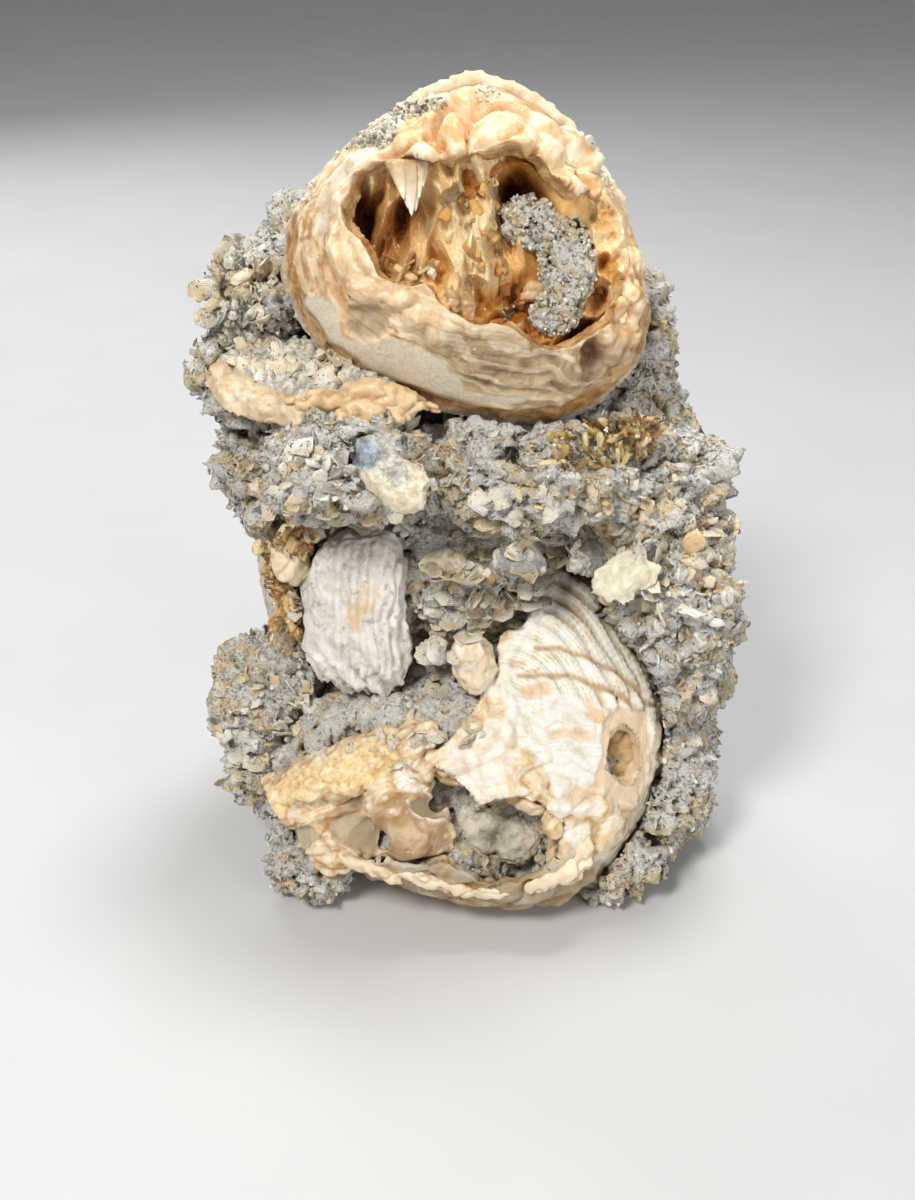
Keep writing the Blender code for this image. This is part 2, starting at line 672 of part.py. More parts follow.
def build():
    remove_startup_objects()
    parts = new_collection("Fossil clam block")
    cutters = new_collection("Cutters", hidden=True)
    look = {
        "rock": material("shell-hash rock", ROCK_GREY, 0.95),
        "sand": material("grey sediment", SAND_GREY, 0.95),
        "cream": material("cream shell", CREAM, 0.45),
        "chalk": material("chalky shell", CHALK, 0.8),
        "peach": material("peach calcite", PEACH, 0.35),
        "honey": material("honey calcite", HONEY, 0.15),
        "slate": material("slate-grey shell", SLATE, 0.6),
        "buff": material("buff oyster shell", BUFF, 0.6),
        "tan": material("tan shell", TAN, 0.8),
    }
    upper = upper_clam(parts, cutters, look)
    lower = lower_clam(parts, cutters, look)
    frame = facing(UPPER_ORIGIN, 0, UPPER_ELEVATION)
    upper_room = clam_bodies(
        "upper_room", frame, UPPER_FRONT_OUTLINE, UPPER_BACK_OUTLINE, UPPER_APEX, UPPER_INFLATION,
        UPPER_SEAM, cutters, 1.2,
    )
    frame = facing(LOWER_ORIGIN, LOWER_AZIMUTH, LOWER_ELEVATION)
    lower_room = clam_bodies(
        "lower_room", frame, LOWER_OUTLINE, LOWER_OUTLINE, LOWER_APEX, LOWER_INFLATION, LOWER_SEAM,
        cutters, 1.2,
    )
    valves = small_valves(parts, look)
    peach = valves["peach_shell_fragment"]
    boolean(peach, room_for(upper_room, cutters, 0, 1200))
    thin(settle(peach), 300)
    pebbles = small_lumps(parts, look)
    boolean(pebbles["small_clam"], room_for([lower[0], lower[2]], cutters, GAP, 2000))
    thin(settle(pebbles["small_clam"]), 84)
    pocket = crystal_crust(
        "pocket_crystals", POCKET_BASE, POCKET_SPREAD, 16, (0.1, -0.7, 0.7), 8, parts, cutters,
        look["honey"], upper_room,
    )
    side = crystal_crust(
        "left_crystals", SIDE_BASE, SIDE_SPREAD, 14, (-0.3, -0.9, 0.2), 9, parts, cutters, look["honey"],
        [valves["white_valve"], valves["left_thin_valve"]],
    )
    others = [*valves.values(), *pebbles.values(), pocket, side]
    rock(parts, cutters, look, upper_room + lower_room, others)


build()
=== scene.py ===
"""The looks of a block of shell-hash rock with two calcite-filled fossil clams.

Each solid of the frame gets a fine skin with its own relief and a procedural material. Crusts, flakes and
grains too small for a solid are added on the rock. Lengths are in mm unless a name says otherwise. Features
of the front are placed by where they're seen from the camera: in pixels of a view 915 wide and 1200 high.
"""

import itertools
import math

import bmesh
import bpy
import numpy as np
from mathutils import Matrix, Vector
from mathutils.bvhtree import BVHTree


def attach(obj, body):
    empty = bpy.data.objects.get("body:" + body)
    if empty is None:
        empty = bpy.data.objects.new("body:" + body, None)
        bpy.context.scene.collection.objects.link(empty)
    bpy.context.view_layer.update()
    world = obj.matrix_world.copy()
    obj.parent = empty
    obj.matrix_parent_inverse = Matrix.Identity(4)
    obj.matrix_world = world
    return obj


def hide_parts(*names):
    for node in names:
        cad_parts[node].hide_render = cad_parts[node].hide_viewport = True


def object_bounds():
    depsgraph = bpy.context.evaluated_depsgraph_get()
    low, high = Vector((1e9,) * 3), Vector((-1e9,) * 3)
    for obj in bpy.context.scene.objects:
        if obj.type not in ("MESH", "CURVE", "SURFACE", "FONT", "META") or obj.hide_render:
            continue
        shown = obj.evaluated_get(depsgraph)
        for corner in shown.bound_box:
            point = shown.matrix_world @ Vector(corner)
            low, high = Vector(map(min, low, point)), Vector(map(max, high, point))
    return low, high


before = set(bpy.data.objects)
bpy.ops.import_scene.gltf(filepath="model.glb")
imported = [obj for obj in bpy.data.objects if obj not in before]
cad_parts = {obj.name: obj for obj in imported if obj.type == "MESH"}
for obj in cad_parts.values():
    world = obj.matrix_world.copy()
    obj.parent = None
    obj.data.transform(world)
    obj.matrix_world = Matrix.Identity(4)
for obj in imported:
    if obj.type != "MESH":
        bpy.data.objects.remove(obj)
CAD_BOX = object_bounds()
MM = 0.001
CLAM_VOXEL = 0.56  # grid of the two front valves' skins
LOOSE_MARGIN = 1.6  # how far loose plates and grains may stand past the frame's box
LOW, HIGH = np.array(CAD_BOX[0]) / MM, np.array(CAD_BOX[1]) / MM

# The camera, in mm and degrees, and its view in pixels
VIEW_FROM = np.array((-1.7, -277.0, 216.0))
VIEW_FALL = 29.5
LENS, SENSOR = 40.5, 36.0
VIEW_MIDDLE, VIEW_HIGH = (457.5, 600.0), 1200
FALL = math.radians(VIEW_FALL)
RIGHT = np.array((1.0, 0.0, 0.0))
AHEAD = np.array((0.0, math.cos(FALL), -math.sin(FALL)))
UP = np.array((0.0, math.sin(FALL), math.cos(FALL)))
PIXELS = LENS / SENSOR * VIEW_HIGH

# The clams, as the solids were built: middle of the outline, azimuth, elevation, outline, apex, bulge
UPPER_FRONT_OUTLINE = (34.5, 30.0, 30.5, 29.5, 30.5, 33.5, 38.8, 38.2, 34.0, 34.5, 40.5, 42.0)
UPPER_BACK_OUTLINE = (35.0, 33.0, 33.8, 35.7, 32.0, 33.0, 36.0, 36.0, 33.0, 33.0, 36.0, 37.0)
LOWER_OUTLINE = (45.5, 47.5, 50.0, 38.0, 28.0, 33.0, 45.5, 42.0, 34.5, 35.5, 41.0, 42.5)
UPPER_PLACE = ((0.8, -4.0, 143.4), 0, 20)
LOWER_PLACE = ((1.0, -24.0, 33.5), 5, 35)

# The edge of the upper clam's hole, in the clam's own plane
HOLE = (
    (-23, 0), (-22, 6.5), (-18.7, 11), (-14, 14), (-7.7, 11), (-4, 10), (0, 14), (5.5, 16.6), (11, 15),
    (22.6, 11), (30.4, -2), (32.6, -11), (30, -20.6), (25, -24.4), (17, -20.6), (9.6, -18.7), (0, -15.8),
    (-7.8, -11), (-13.5, -9), (-21, -8),
)


# Noise on arrays of points


def hashed(cell, seed):
    """A number from 0 to 1 for each whole-number cell."""
    c = cell.astype(np.int64)
    h = (c[..., 0] * 73856093) ^ (c[..., 1] * 19349663) ^ (c[..., 2] * 83492791) ^ (seed * 2654435761)
    h &= 0xFFFFFFFF
    h ^= h >> 16
    h = (h * 0x7FEB352D) & 0xFFFFFFFF
    h ^= h >> 15
    h = (h * 0x46CA68B) & 0xFFFFFFFF
    h ^= h >> 16
    return h / 4294967295.0


def smoothstep(low, high, x):
    """0 below low, 1 above high and smooth between; it falls where low is above high."""
    t = np.clip((x - low) / (high - low), 0, 1)
    return t * t * (3 - 2 * t)


def value_noise(points, size, seed):
    """Smooth noise from -1 to 1 between the chance numbers of a grid's corners."""
    p = points / size + seed * 17.13
    base = np.floor(p)
    f = p - base
    f = f * f * (3 - 2 * f)
    total = np.zeros(len(points))
    for corner in itertools.product((0, 1), repeat=3):
        weight = np.ones(len(points))
        for axis in range(3):
            weight *= f[:, axis] if corner[axis] else 1 - f[:, axis]
        total += weight * hashed(base + corner, seed)
    return 2 * total - 1


def fractal(points, size, octaves=3, seed=0, gain=0.5):
    """Noise from about -1 to 1 with finer noise on it."""
    total, weight, whole = np.zeros(len(points)), 1.0, 0.0
    for k in range(octaves):
        total += weight * value_noise(points, size / 2**k, seed + 7 * k)
        whole += weight
        weight *= gain
    return total / whole


def cells(points, size, seed=0):
    """The distances to the two nearest of a field of centres, in sizes, the nearest one's own number
    from 0 to 1, and the offset from it in mm."""
    p = points / size + seed * 3.7
    base = np.floor(p)
    count = len(points)
    near, second, own = np.full(count, 9.0), np.full(count, 9.0), np.zeros(count)
    away = np.zeros((count, 3))
    for step in itertools.product((-1, 0, 1), repeat=3):
        cell = base + step
        jitter = np.stack([hashed(cell, seed + k) for k in (1, 2, 3)], 1)
        offset = p - (cell + 0.08 + 0.84 * jitter)
        distance = np.sqrt((offset**2).sum(1))
        closer = distance < near
        second = np.where(closer, near, np.minimum(second, distance))
        own = np.where(closer, hashed(cell, seed + 4), own)
        away[closer] = offset[closer]
        near = np.where(closer, distance, near)
    return near, second, own, away * size


def warped(points, size, reach, seed):
    """The points, each moved by noise, so that what is worked out from them wavers."""
    shift = np.stack([fractal(points, size, 2, seed + k) for k in (0, 1, 2)], 1)
    return points + reach * shift


def tilt_of(own):
    """A direction for each cell's own number."""
    return np.stack([np.sin(own * 97.0), np.cos(own * 57.0), np.sin(own * 31.0 + 1)], 1)


def billow(points, size, seed, octaves=2):
    """Rounded folds from 0 in the creases where they meet to about 1, and how deep in a crease a point lies."""
    rise = np.abs(fractal(warped(points, size, 0.4 * size, seed), size, octaves, seed + 3))
    return np.minimum(1, 2.2 * rise) ** 0.8, 1 - smoothstep(0.0, 0.14, rise)


def crags(points, size, seed, knob=1.0, face=1.0, gap=0.3):
    """Broken knobs parted by crevices: the height, and how deep in a crevice each point lies."""
    near, second, own, away = cells(points, size, seed)
    open_part = smoothstep(0, gap, second - near)
    height = knob * ((open_part - 0.7) + 0.8 * (own - 0.5))
    height += face * np.clip((away * tilt_of(own)).sum(1) / size, -0.5, 0.5)
    return height, 1 - open_part, own


# Places in the front view


def seen(points):
    """Where points are seen, in pixels from the top left."""
    off = points - VIEW_FROM
    along = off @ AHEAD
    return np.column_stack(
        [VIEW_MIDDLE[0] + PIXELS * (off @ RIGHT) / along, VIEW_MIDDLE[1] - PIXELS * (off @ UP) / along]
    )


def sight(px, py):
    """The direction in which the camera sees a pixel."""
    ray = AHEAD * PIXELS + RIGHT * (px - VIEW_MIDDLE[0]) - UP * (py - VIEW_MIDDLE[1])
    return ray / np.linalg.norm(ray)


def distance_to(places, line, closed=False):
    """The distance from points of a plane to a line, and for a closed one whether each lies inside it."""
    line = np.array(line, float)
    ends = np.roll(line, -1, 0)
    best = np.full(len(places), 1e9)
    inside = np.zeros(len(places), bool)
    for a, b in list(zip(line, ends))[: len(line) if closed else -1]:
        run = b - a
        share = np.clip(((places - a) @ run) / (run @ run), 0, 1)
        best = np.minimum(best, np.hypot(*(places - a - share[:, None] * run).T))
        crosses = (a[1] > places[:, 1]) != (b[1] > places[:, 1])
        rise = np.where(b[1] == a[1], 1.0, b[1] - a[1])
        inside ^= crosses & (places[:, 0] < a[0] + (places[:, 1] - a[1]) * run[0] / rise)
    return best, inside


def area(places, line, soft=4.0, wander=0.0, points=None, seed=0):
    """1 inside a closed line, fading to 0 across its edge, which may wander."""
    off, inside = distance_to(places, line, True)
    off = np.where(inside, off, -off)
    if wander:
        off = off + wander * fractal(points, 3.0, 2, seed)
    return smoothstep(-soft, soft, off)


def pixels_in(region, count, rng, tries=4, bare=()):
    """Chance pixels inside a region of the view, and outside the bare lines."""
    corners = np.array(region)
    px = rng.uniform(corners.min(0), corners.max(0), (count * tries, 2))
    free = distance_to(px, region, True)[1]
    for line in bare:
        free &= ~distance_to(px, line, True)[1]
    return px[free][:count]


def wobbled(places, points, reach, size, octaves, *seeds):
    """Places of the view, each moved by noise that depends on its point."""
    return places + reach * np.column_stack([fractal(points, size, octaves, seed) for seed in seeds])


def stroke(places, line, width, soft=0.5):
    """1 on a line, fading to 0 at half its width."""
    return 1 - smoothstep(width * 0.5 * (1 - soft), width * 0.5 * (1 + soft), distance_to(places, line)[0])


def mound(places, centre, radii, turn=0.0):
    """A rounded bump from 1 in the middle to 0 at an ellipse; the turn is in degrees, anticlockwise."""
    a = math.radians(turn)
    off = places - np.array(centre)
    across = (off[:, 0] * math.cos(a) - off[:, 1] * math.sin(a)) / radii[0]
    high = (off[:, 0] * math.sin(a) + off[:, 1] * math.cos(a)) / radii[1]
    return np.sqrt(np.maximum(0, 1 - across**2 - high**2))


def blob(places, centre, radii, soft=0.35):
    """1 inside an ellipse or ellipsoid, fading to 0 at its edge."""
    off = np.sqrt((((places - np.array(centre)) / np.array(radii)) ** 2).sum(1))
    return 1 - smoothstep(1 - soft, 1 + soft, off)


# Meshes


def points_of(obj):
    """A mesh's points in mm."""
    out = np.empty(len(obj.data.vertices) * 3)
    obj.data.vertices.foreach_get("co", out)
    return out.reshape(-1, 3) / MM


def normals_of(obj):
    """The ways that a mesh's points face."""
    out = np.empty(len(obj.data.vertices) * 3, np.float32)
    obj.data.vertex_normals.foreach_get("vector", out)
    return out.reshape(-1, 3).astype(float)


def surface_of(obj):
    """The points of a mesh and the ways they face."""
    return points_of(obj), normals_of(obj)


def set_points(obj, points):
    obj.data.vertices.foreach_set("co", (np.ascontiguousarray(points) * MM).ravel())
    obj.data.update()


def store(obj, name, values):
    """Values for a mesh's points, to be read in its material."""
    layer = obj.data.attributes.new(name, "FLOAT", "POINT")
    layer.data.foreach_set("value", np.ascontiguousarray(values, np.float32))


def kept_in(points, margin=1.4):
    """Points eased back so that none lies more than the margin outside the frame's box or under it."""
    for axis in range(3):
        for side, edge in ((1, HIGH[axis]), (-1, LOW[axis])):
            over = side * (points[:, axis] - edge) + 0.6
            eased = margin * np.tanh(np.maximum(over, 0) / (margin + 0.6))
            points[:, axis] = np.where(over > 0, edge + side * (eased - 0.6), points[:, axis])
    points[:, 2] = np.maximum(points[:, 2], 0.0)
    return points


def dress(obj, slot, look, *nodes, smooth=True):
    """Material, shading and place in the frame for a finished piece."""
    obj.data.polygons.foreach_set("use_smooth", [smooth] * len(obj.data.polygons))
    obj.data.materials.clear()
    obj.data.materials.append(look)
    if obj.name not in bpy.context.scene.collection.objects:
        bpy.context.scene.collection.objects.link(obj)
    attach(obj, "root")
    if nodes:
        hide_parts(*nodes)
    return obj


def fused(name, bm, voxel, swell=0.0, smooth=3):
    """A fine closed skin over the closed forms of a bmesh, which it uses up."""
    mesh = bpy.data.meshes.new(name)
    bm.to_mesh(mesh)
    bm.free()
    obj = bpy.data.objects.new(name, mesh)
    bpy.context.scene.collection.objects.link(obj)
    if swell:
        move = obj.modifiers.new("swell", "DISPLACE")
        move.strength = swell * MM
        move.mid_level = 0.0
    skin = obj.modifiers.new("skin", "REMESH")
    skin.mode = "VOXEL"
    skin.voxel_size = voxel * MM
    even = obj.modifiers.new("even", "SMOOTH")
    even.factor = 0.5
    even.iterations = smooth
    fine = bpy.data.meshes.new_from_object(obj.evaluated_get(bpy.context.evaluated_depsgraph_get()))
    obj.modifiers.clear()
    obj.data = fine
    fine.name = name
    return obj


def remeshed(name, source, voxel, swell=0.0, smooth=3):
    """A fine closed skin over one of the frame's solids."""
    bm = bmesh.new()
    bm.from_mesh(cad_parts[source].data)
    bmesh.ops.remove_doubles(bm, verts=bm.verts, dist=1e-6)
    return fused(name, bm, voxel, swell, smooth)


def mesh_piece(name, verts, triangles):
    """A new object from arrays: vertices in mm and rows of three indices."""
    mesh = bpy.data.meshes.new(name)
    mesh.vertices.add(len(verts))
    mesh.vertices.foreach_set("co", (np.ascontiguousarray(verts, float) * MM).ravel())
    mesh.loops.add(3 * len(triangles))
    mesh.loops.foreach_set("vertex_index", np.ascontiguousarray(triangles, np.int32).ravel())
    mesh.polygons.add(len(triangles))
    mesh.polygons.foreach_set("loop_start", np.arange(0, 3 * len(triangles), 3, dtype=np.int32))
    mesh.update(calc_edges=True)
    return bpy.data.objects.new(name, mesh)


def copies(name, verts, faces, margin):
    """Many copies of one form as a mesh: a row of vertices for each, and the faces of the first."""
    starts = np.arange(len(verts)) * verts.shape[1]
    triangles = np.array(faces)[None] + starts[:, None, None]
    return mesh_piece(name, kept_in(verts.reshape(-1, 3), margin), triangles.reshape(-1, 3))


def trimmed(name, verts, triangles):
    """A mesh of only the vertices that its triangles use, and which of them those are."""
    used, index = np.unique(triangles, return_inverse=True)
    return mesh_piece(name, verts[used], index.reshape(-1, 3)), used


def tree_of(*objects):
    """A search tree in mm over some meshes."""
    verts, faces = [], []
    for obj in objects:
        base = len(verts)
        verts += points_of(obj).tolist()
        faces += [[base + i for i in face.vertices] for face in obj.data.polygons]
    return BVHTree.FromPolygons(verts, faces)


SOLIDS = tree_of(*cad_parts.values())
SHELLS = tree_of(*(obj for name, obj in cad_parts.items() if name != "matrix"))


def spot(px, py, lift=0.0, tree=SOLIDS):
    """The point seen at a pixel, brought towards the camera by the lift, or None."""
    ray = sight(px, py)
    hit = tree.ray_cast(Vector(VIEW_FROM), Vector(ray))[0]
    return None if hit is None else np.array(hit) - lift * ray


def openness(obj, reach=8.0, rays=8, seed=1):
    """The share of directions over each point of a mesh in which nothing of it stands near."""
    tree, rng = tree_of(obj), np.random.default_rng(seed)
    points, normals = surface_of(obj)
    fan = rng.normal(size=(rays, 3))
    fan /= np.linalg.norm(fan, axis=1)[:, None]
    free = np.zeros(len(points))
    starts = [Vector(p) for p in points + 0.25 * normals]
    for ray in fan:
        ways = normals * 1.1 + ray
        free += [tree.ray_cast(start, Vector(way), reach)[0] is None for start, way in zip(starts, ways)]
    return free / rays


def room_to(points, tree, most):
    """The distance from each point to the nearest of a tree's surfaces, up to a most."""
    found = (tree.find_nearest(Vector(p), most)[3] for p in points)
    return np.array([most if d is None else d for d in found])


def lumps(name, rows, voxel, tree=SOLIDS, smooth=3):
    """One skin over ellipsoids. Each row: where it's seen, half-sizes in mm (across, up and along the view),
    the turn in degrees and how far it's brought towards the camera."""
    bm = bmesh.new()
    turn_in = Matrix((RIGHT, UP, -AHEAD)).transposed().to_4x4()
    for place, sizes, turn, lift in rows:
        at = spot(*place, lift, tree)
        spin = Matrix.Rotation(math.radians(turn), 4, "Z")
        whole = Matrix.Translation(at * MM) @ turn_in @ spin @ Matrix.Diagonal((*(np.array(sizes) * MM), 1))
        bmesh.ops.create_icosphere(bm, subdivisions=3, radius=1.0, matrix=whole)
    return fused(name, bm, voxel, 0.0, smooth)


# The clams' domes


def facing(place, azimuth, elevation, roll=0.0):
    """A frame in mm whose local Z points to the front, turned azimuth to the right and raised by elevation."""
    turn = Matrix.Rotation(math.radians(azimuth), 4, "Z")
    lift = Matrix.Rotation(math.radians(90 - elevation), 4, "X")
    return Matrix.Translation(place) @ turn @ lift @ Matrix.Rotation(math.radians(roll), 4, "Z")


class Dome:
    """A valve's form: where a point lies on it, counted in growth from 0 at the apex to 1 at the margin."""

    def __init__(self, place, outline, apex, bulge):
        self.turn = np.array(place.to_3x3())
        self.middle = np.array(place.translation)
        self.outline = np.array(outline, float)
        self.apex = np.array(apex, float)
        self.bulge = bulge

    def local(self, points):
        return (points - self.middle) @ self.turn

    def world(self, local):
        return local @ self.turn.T + self.middle

    def radius(self, angle):
        count = len(self.outline)
        place = (angle / math.tau * count) % count
        first = np.floor(place).astype(int)
        share = place - first
        p0, p1, p2, p3 = (self.outline[(first + k) % count] for k in (-1, 0, 1, 2))
        bend = 2 * p0 - 5 * p1 + 4 * p2 - p3
        twist = 3 * (p1 - p2) + p3 - p0
        return p1 + 0.5 * share * (p2 - p0 + share * (bend + share * twist))

    def growth(self, local):
        low, high = np.full(len(local), 1e-3), np.full(len(local), 1.6)
        for _ in range(20):
            g = 0.5 * (low + high)
            from_middle = local[:, :2] - (1 - g)[:, None] * self.apex
            angle = np.arctan2(from_middle[:, 1], from_middle[:, 0])
            outside = np.hypot(from_middle[:, 0], from_middle[:, 1]) > g * self.radius(angle)
            low, high = np.where(outside, g, low), np.where(outside, high, g)
        return g, angle

    def height(self, growth):
        return self.bulge * np.maximum(0, 1 - np.minimum(growth, 1) ** 2.2) ** 0.6

    def read(self, points, reach=1.8):
        """How far each point belongs to the outer face, 0 to 1, with its local place, growth and angle."""
        local = self.local(points)
        growth, angle = self.growth(local)
        off = np.abs(local[:, 2] - self.height(growth))
        face = 1 - smoothstep(reach * 0.5, reach, off)
        return face * (1 - smoothstep(1.0, 1.06, growth)), local, growth, angle

    def rounded(self, local, growth, face):
        """The points moved onto the true dome, so that the solid's flat facets don't show."""
        out = local.copy()
        out[:, 2] += face * (self.height(growth) - local[:, 2])
        return self.world(out)


UPPER = Dome(facing(*UPPER_PLACE), UPPER_FRONT_OUTLINE, (6, 10), 23)
LOWER = Dome(facing(*LOWER_PLACE), LOWER_OUTLINE, (-5, -8), 21)


def turned(outline):
    """A valve's outline as seen from behind."""
    count = len(outline)
    return tuple(outline[(count // 2 - k) % count] for k in range(count))


def behind(place, distance):
    """A frame that looks the other way, at a distance behind another."""
    return place @ Matrix.Translation((0, 0, -distance)) @ Matrix.Rotation(math.pi, 4, "Y")


UPPER_BACK = Dome(behind(facing(*UPPER_PLACE), 2.6), turned(UPPER_BACK_OUTLINE), (-6, 10), 23)
LOWER_BACK = Dome(behind(facing(*LOWER_PLACE), 0.8), turned(LOWER_OUTLINE), (5, -8), 21)


def sawtooth(steps, rise=0.6, fall=0.3):
    """From 0 up to 1 and back down along each whole step."""
    share = steps - np.floor(steps)
    return smoothstep(0, rise, share) - smoothstep(1 - fall, 1.0, share)


# Materials


class Look:
    """A procedural material. Each call adds a node and returns its output; sizes are in mm."""

    def __init__(self, name, roughness=0.7, scatter=0.0, glow=(2.2, 1.2, 0.6), **fixed):
        self.material = bpy.data.materials.new(name)
        self.material.use_nodes = True
        self.tree = self.material.node_tree
        self.shader = self.tree.nodes["Principled BSDF"]
        self.shader.inputs["Roughness"].default_value = roughness
        if scatter:
            self.shader.inputs["Subsurface Weight"].default_value = scatter
            self.shader.inputs["Subsurface Radius"].default_value = glow
            self.shader.inputs["Subsurface Scale"].default_value = MM
        for socket, value in fixed.items():
            self.shader.inputs[socket.replace("_", " ")].default_value = value
        coordinates = self.tree.nodes.new("ShaderNodeTexCoord").outputs["Object"]
        inputs = {"Vector": coordinates, "Scale": 1 / MM}
        self.place = self.node("ShaderNodeVectorMath", {"operation": "SCALE"}, inputs).outputs[0]
        self.shape = None

    def node(self, kind, settings=(), inputs=()):
        node = self.tree.nodes.new(kind)
        for key, value in dict(settings).items():
            setattr(node, key, value)
        for key, value in dict(inputs).items():
            self.put(node.inputs[key], value)
        return node

    def put(self, socket, value):
        if isinstance(value, bpy.types.NodeSocket):
            self.tree.links.new(value, socket)
        elif isinstance(value, tuple) and len(value) == 3 and socket.type == "RGBA":
            socket.default_value = (*value, 1.0)
        else:
            socket.default_value = value

    def attr(self, name):
        return self.node("ShaderNodeAttribute", {"attribute_name": name}).outputs["Fac"]

    def shifted(self, seed, stretch=(1, 1, 1)):
        inputs = {0: self.place, 1: stretch, 2: (seed * 11.3, seed * 5.7, seed * 8.9)}
        return self.node("ShaderNodeVectorMath", {"operation": "MULTIPLY_ADD"}, inputs).outputs[0]

    def noise(self, size, detail=3, rough=0.55, warp=0.0, seed=0, stretch=(1, 1, 1)):
        inputs = {"Vector": self.shifted(seed, stretch), "Scale": 1 / size, "Detail": detail}
        inputs |= {"Roughness": rough, "Distortion": warp}
        return self.node("ShaderNodeTexNoise", {}, inputs).outputs["Fac"]

    def cell(self, size, seed=0):
        """The distance to the nearest of a field of centres."""
        inputs = {"Vector": self.shifted(seed), "Scale": 1 / size}
        return self.node("ShaderNodeTexVoronoi", {}, inputs).outputs["Distance"]

    def calc(self, operation, a, b=0.0, c=None):
        inputs = {0: a, 1: b} if c is None else {0: a, 1: b, 2: c}
        return self.node("ShaderNodeMath", {"operation": operation}, inputs).outputs[0]

    def times(self, a, b):
        return self.calc("MULTIPLY", a, b)

    def step(self, value, low, high):
        """0 below low, 1 above high and smooth between."""
        inputs = {"Value": value, "From Min": low, "From Max": high}
        return self.node("ShaderNodeMapRange", {"interpolation_type": "SMOOTHSTEP"}, inputs).outputs["Result"]

    def ramp(self, value, *stops):
        node = self.node("ShaderNodeValToRGB", {}, {"Fac": value})
        ramp = node.color_ramp
        while len(ramp.elements) < len(stops):
            ramp.elements.new(0.5)
        for element, (position, colour) in zip(ramp.elements, stops):
            element.position = position
            element.color = (*colour, 1.0)
        return node.outputs["Color"]

    def level(self, value, low, high):
        """A grey from low to high as the value goes over the middle of its range."""
        return self.ramp(value, (0.36, (low,) * 3), (0.64, (high,) * 3))

    def mix(self, share, a, b, blend="MIX"):
        node = self.node("ShaderNodeMix", {"data_type": "RGBA", "blend_type": blend})
        self.put(node.inputs[0], share)
        self.put(node.inputs[6], a)
        self.put(node.inputs[7], b)
        return node.outputs[2]

    def over(self, colour, mask, share, tint, blend="MIX"):
        """The colour with a tint laid over it, by a share of one of the mesh's attributes."""
        return self.mix(self.times(self.attr(mask), share), colour, tint, blend)

    def bump(self, height, distance, strength=1.0):
        """Relief of a height in mm, on top of any given before."""
        inputs = {"Height": height, "Distance": distance * MM, "Strength": strength}
        if self.shape is not None:
            inputs["Normal"] = self.shape
        self.shape = self.node("ShaderNodeBump", {}, inputs).outputs[0]

    def done(self, colour=None, roughness=None):
        if colour is not None:
            self.put(self.shader.inputs["Base Color"], colour)
        if roughness is not None:
            self.put(self.shader.inputs["Roughness"], roughness)
        if self.shape is not None:
            self.tree.links.new(self.shape, self.shader.inputs["Normal"])
        return self.material


# Linear colours
CHALK = (0.80, 0.76, 0.70)
TAN = (0.50, 0.33, 0.17)
AMBER = (0.44, 0.17, 0.03)
HONEY = (0.70, 0.40, 0.12)
DARK = (0.055, 0.053, 0.05)


def rock_colour(look, tone, open_part, seed=0):
    """Pale beige crust with stained patches and specks. Its open share paints shade, near black, into its hollows and
    highlights, nearly white, onto its open tips, where alone its pale patches show.
    """
    mottle = look.noise(1.5, 6, 0.8, 0.5, 1 + seed)
    value = look.calc("MULTIPLY_ADD", tone, 0.50, look.calc("MULTIPLY_ADD", mottle, 0.90, -0.30))
    # Painted shade and highlight: the open share darkens hollows towards black and lightens open tips towards white.
    value = look.calc("MULTIPLY_ADD", open_part, 1.0, look.calc("SUBTRACT", value, 0.12))
    colour = look.ramp(
        value, (0.20, (0.02, 0.018, 0.014)), (0.31, (0.10, 0.088, 0.065)), (0.39, (0.36, 0.32, 0.245)),
        (0.48, (0.68, 0.61, 0.48)), (0.58, (0.86, 0.80, 0.67)), (0.72, (0.90, 0.88, 0.81)),
    )
    yellow = look.step(look.noise(8, 3, 0.6, 0.8, 2 + seed), 0.48, 0.60)
    colour = look.mix(look.times(yellow, 0.75), colour, (0.94, 0.74, 0.44), "MULTIPLY")
    blue = look.step(look.noise(5, 3, 0.6, 0.5, 3 + seed), 0.58, 0.64)
    colour = look.mix(look.times(blue, 0.4), colour, (0.22, 0.235, 0.24))
    # Painted highlight: these pale patches show only where the open share is high.
    pale = look.step(look.noise(2.6, 4, 0.7, 0.6, 5 + seed), 0.54, 0.60)
    colour = look.mix(look.times(look.times(pale, look.step(open_part, 0.3, 0.7)), 0.8), colour, (0.90, 0.88, 0.82))
    return look.mix(look.times(look.step(look.noise(1.1, 3, 0.6, 0.3, 6 + seed), 0.61, 0.67), 0.8), colour, DARK)


def rock_look():
    """The rock's material."""
    look = Look("shell-hash rock", 0.9, Specular_IOR_Level=0.3)
    colour = rock_colour(look, look.attr("tone"), look.attr("open"))
    look.bump(look.noise(1.4, 6, 0.8, 0.4, 7), 1.3, 1.0)
    look.bump(look.cell(0.8, 8), 0.4, 1.0)
    return look.done(colour)


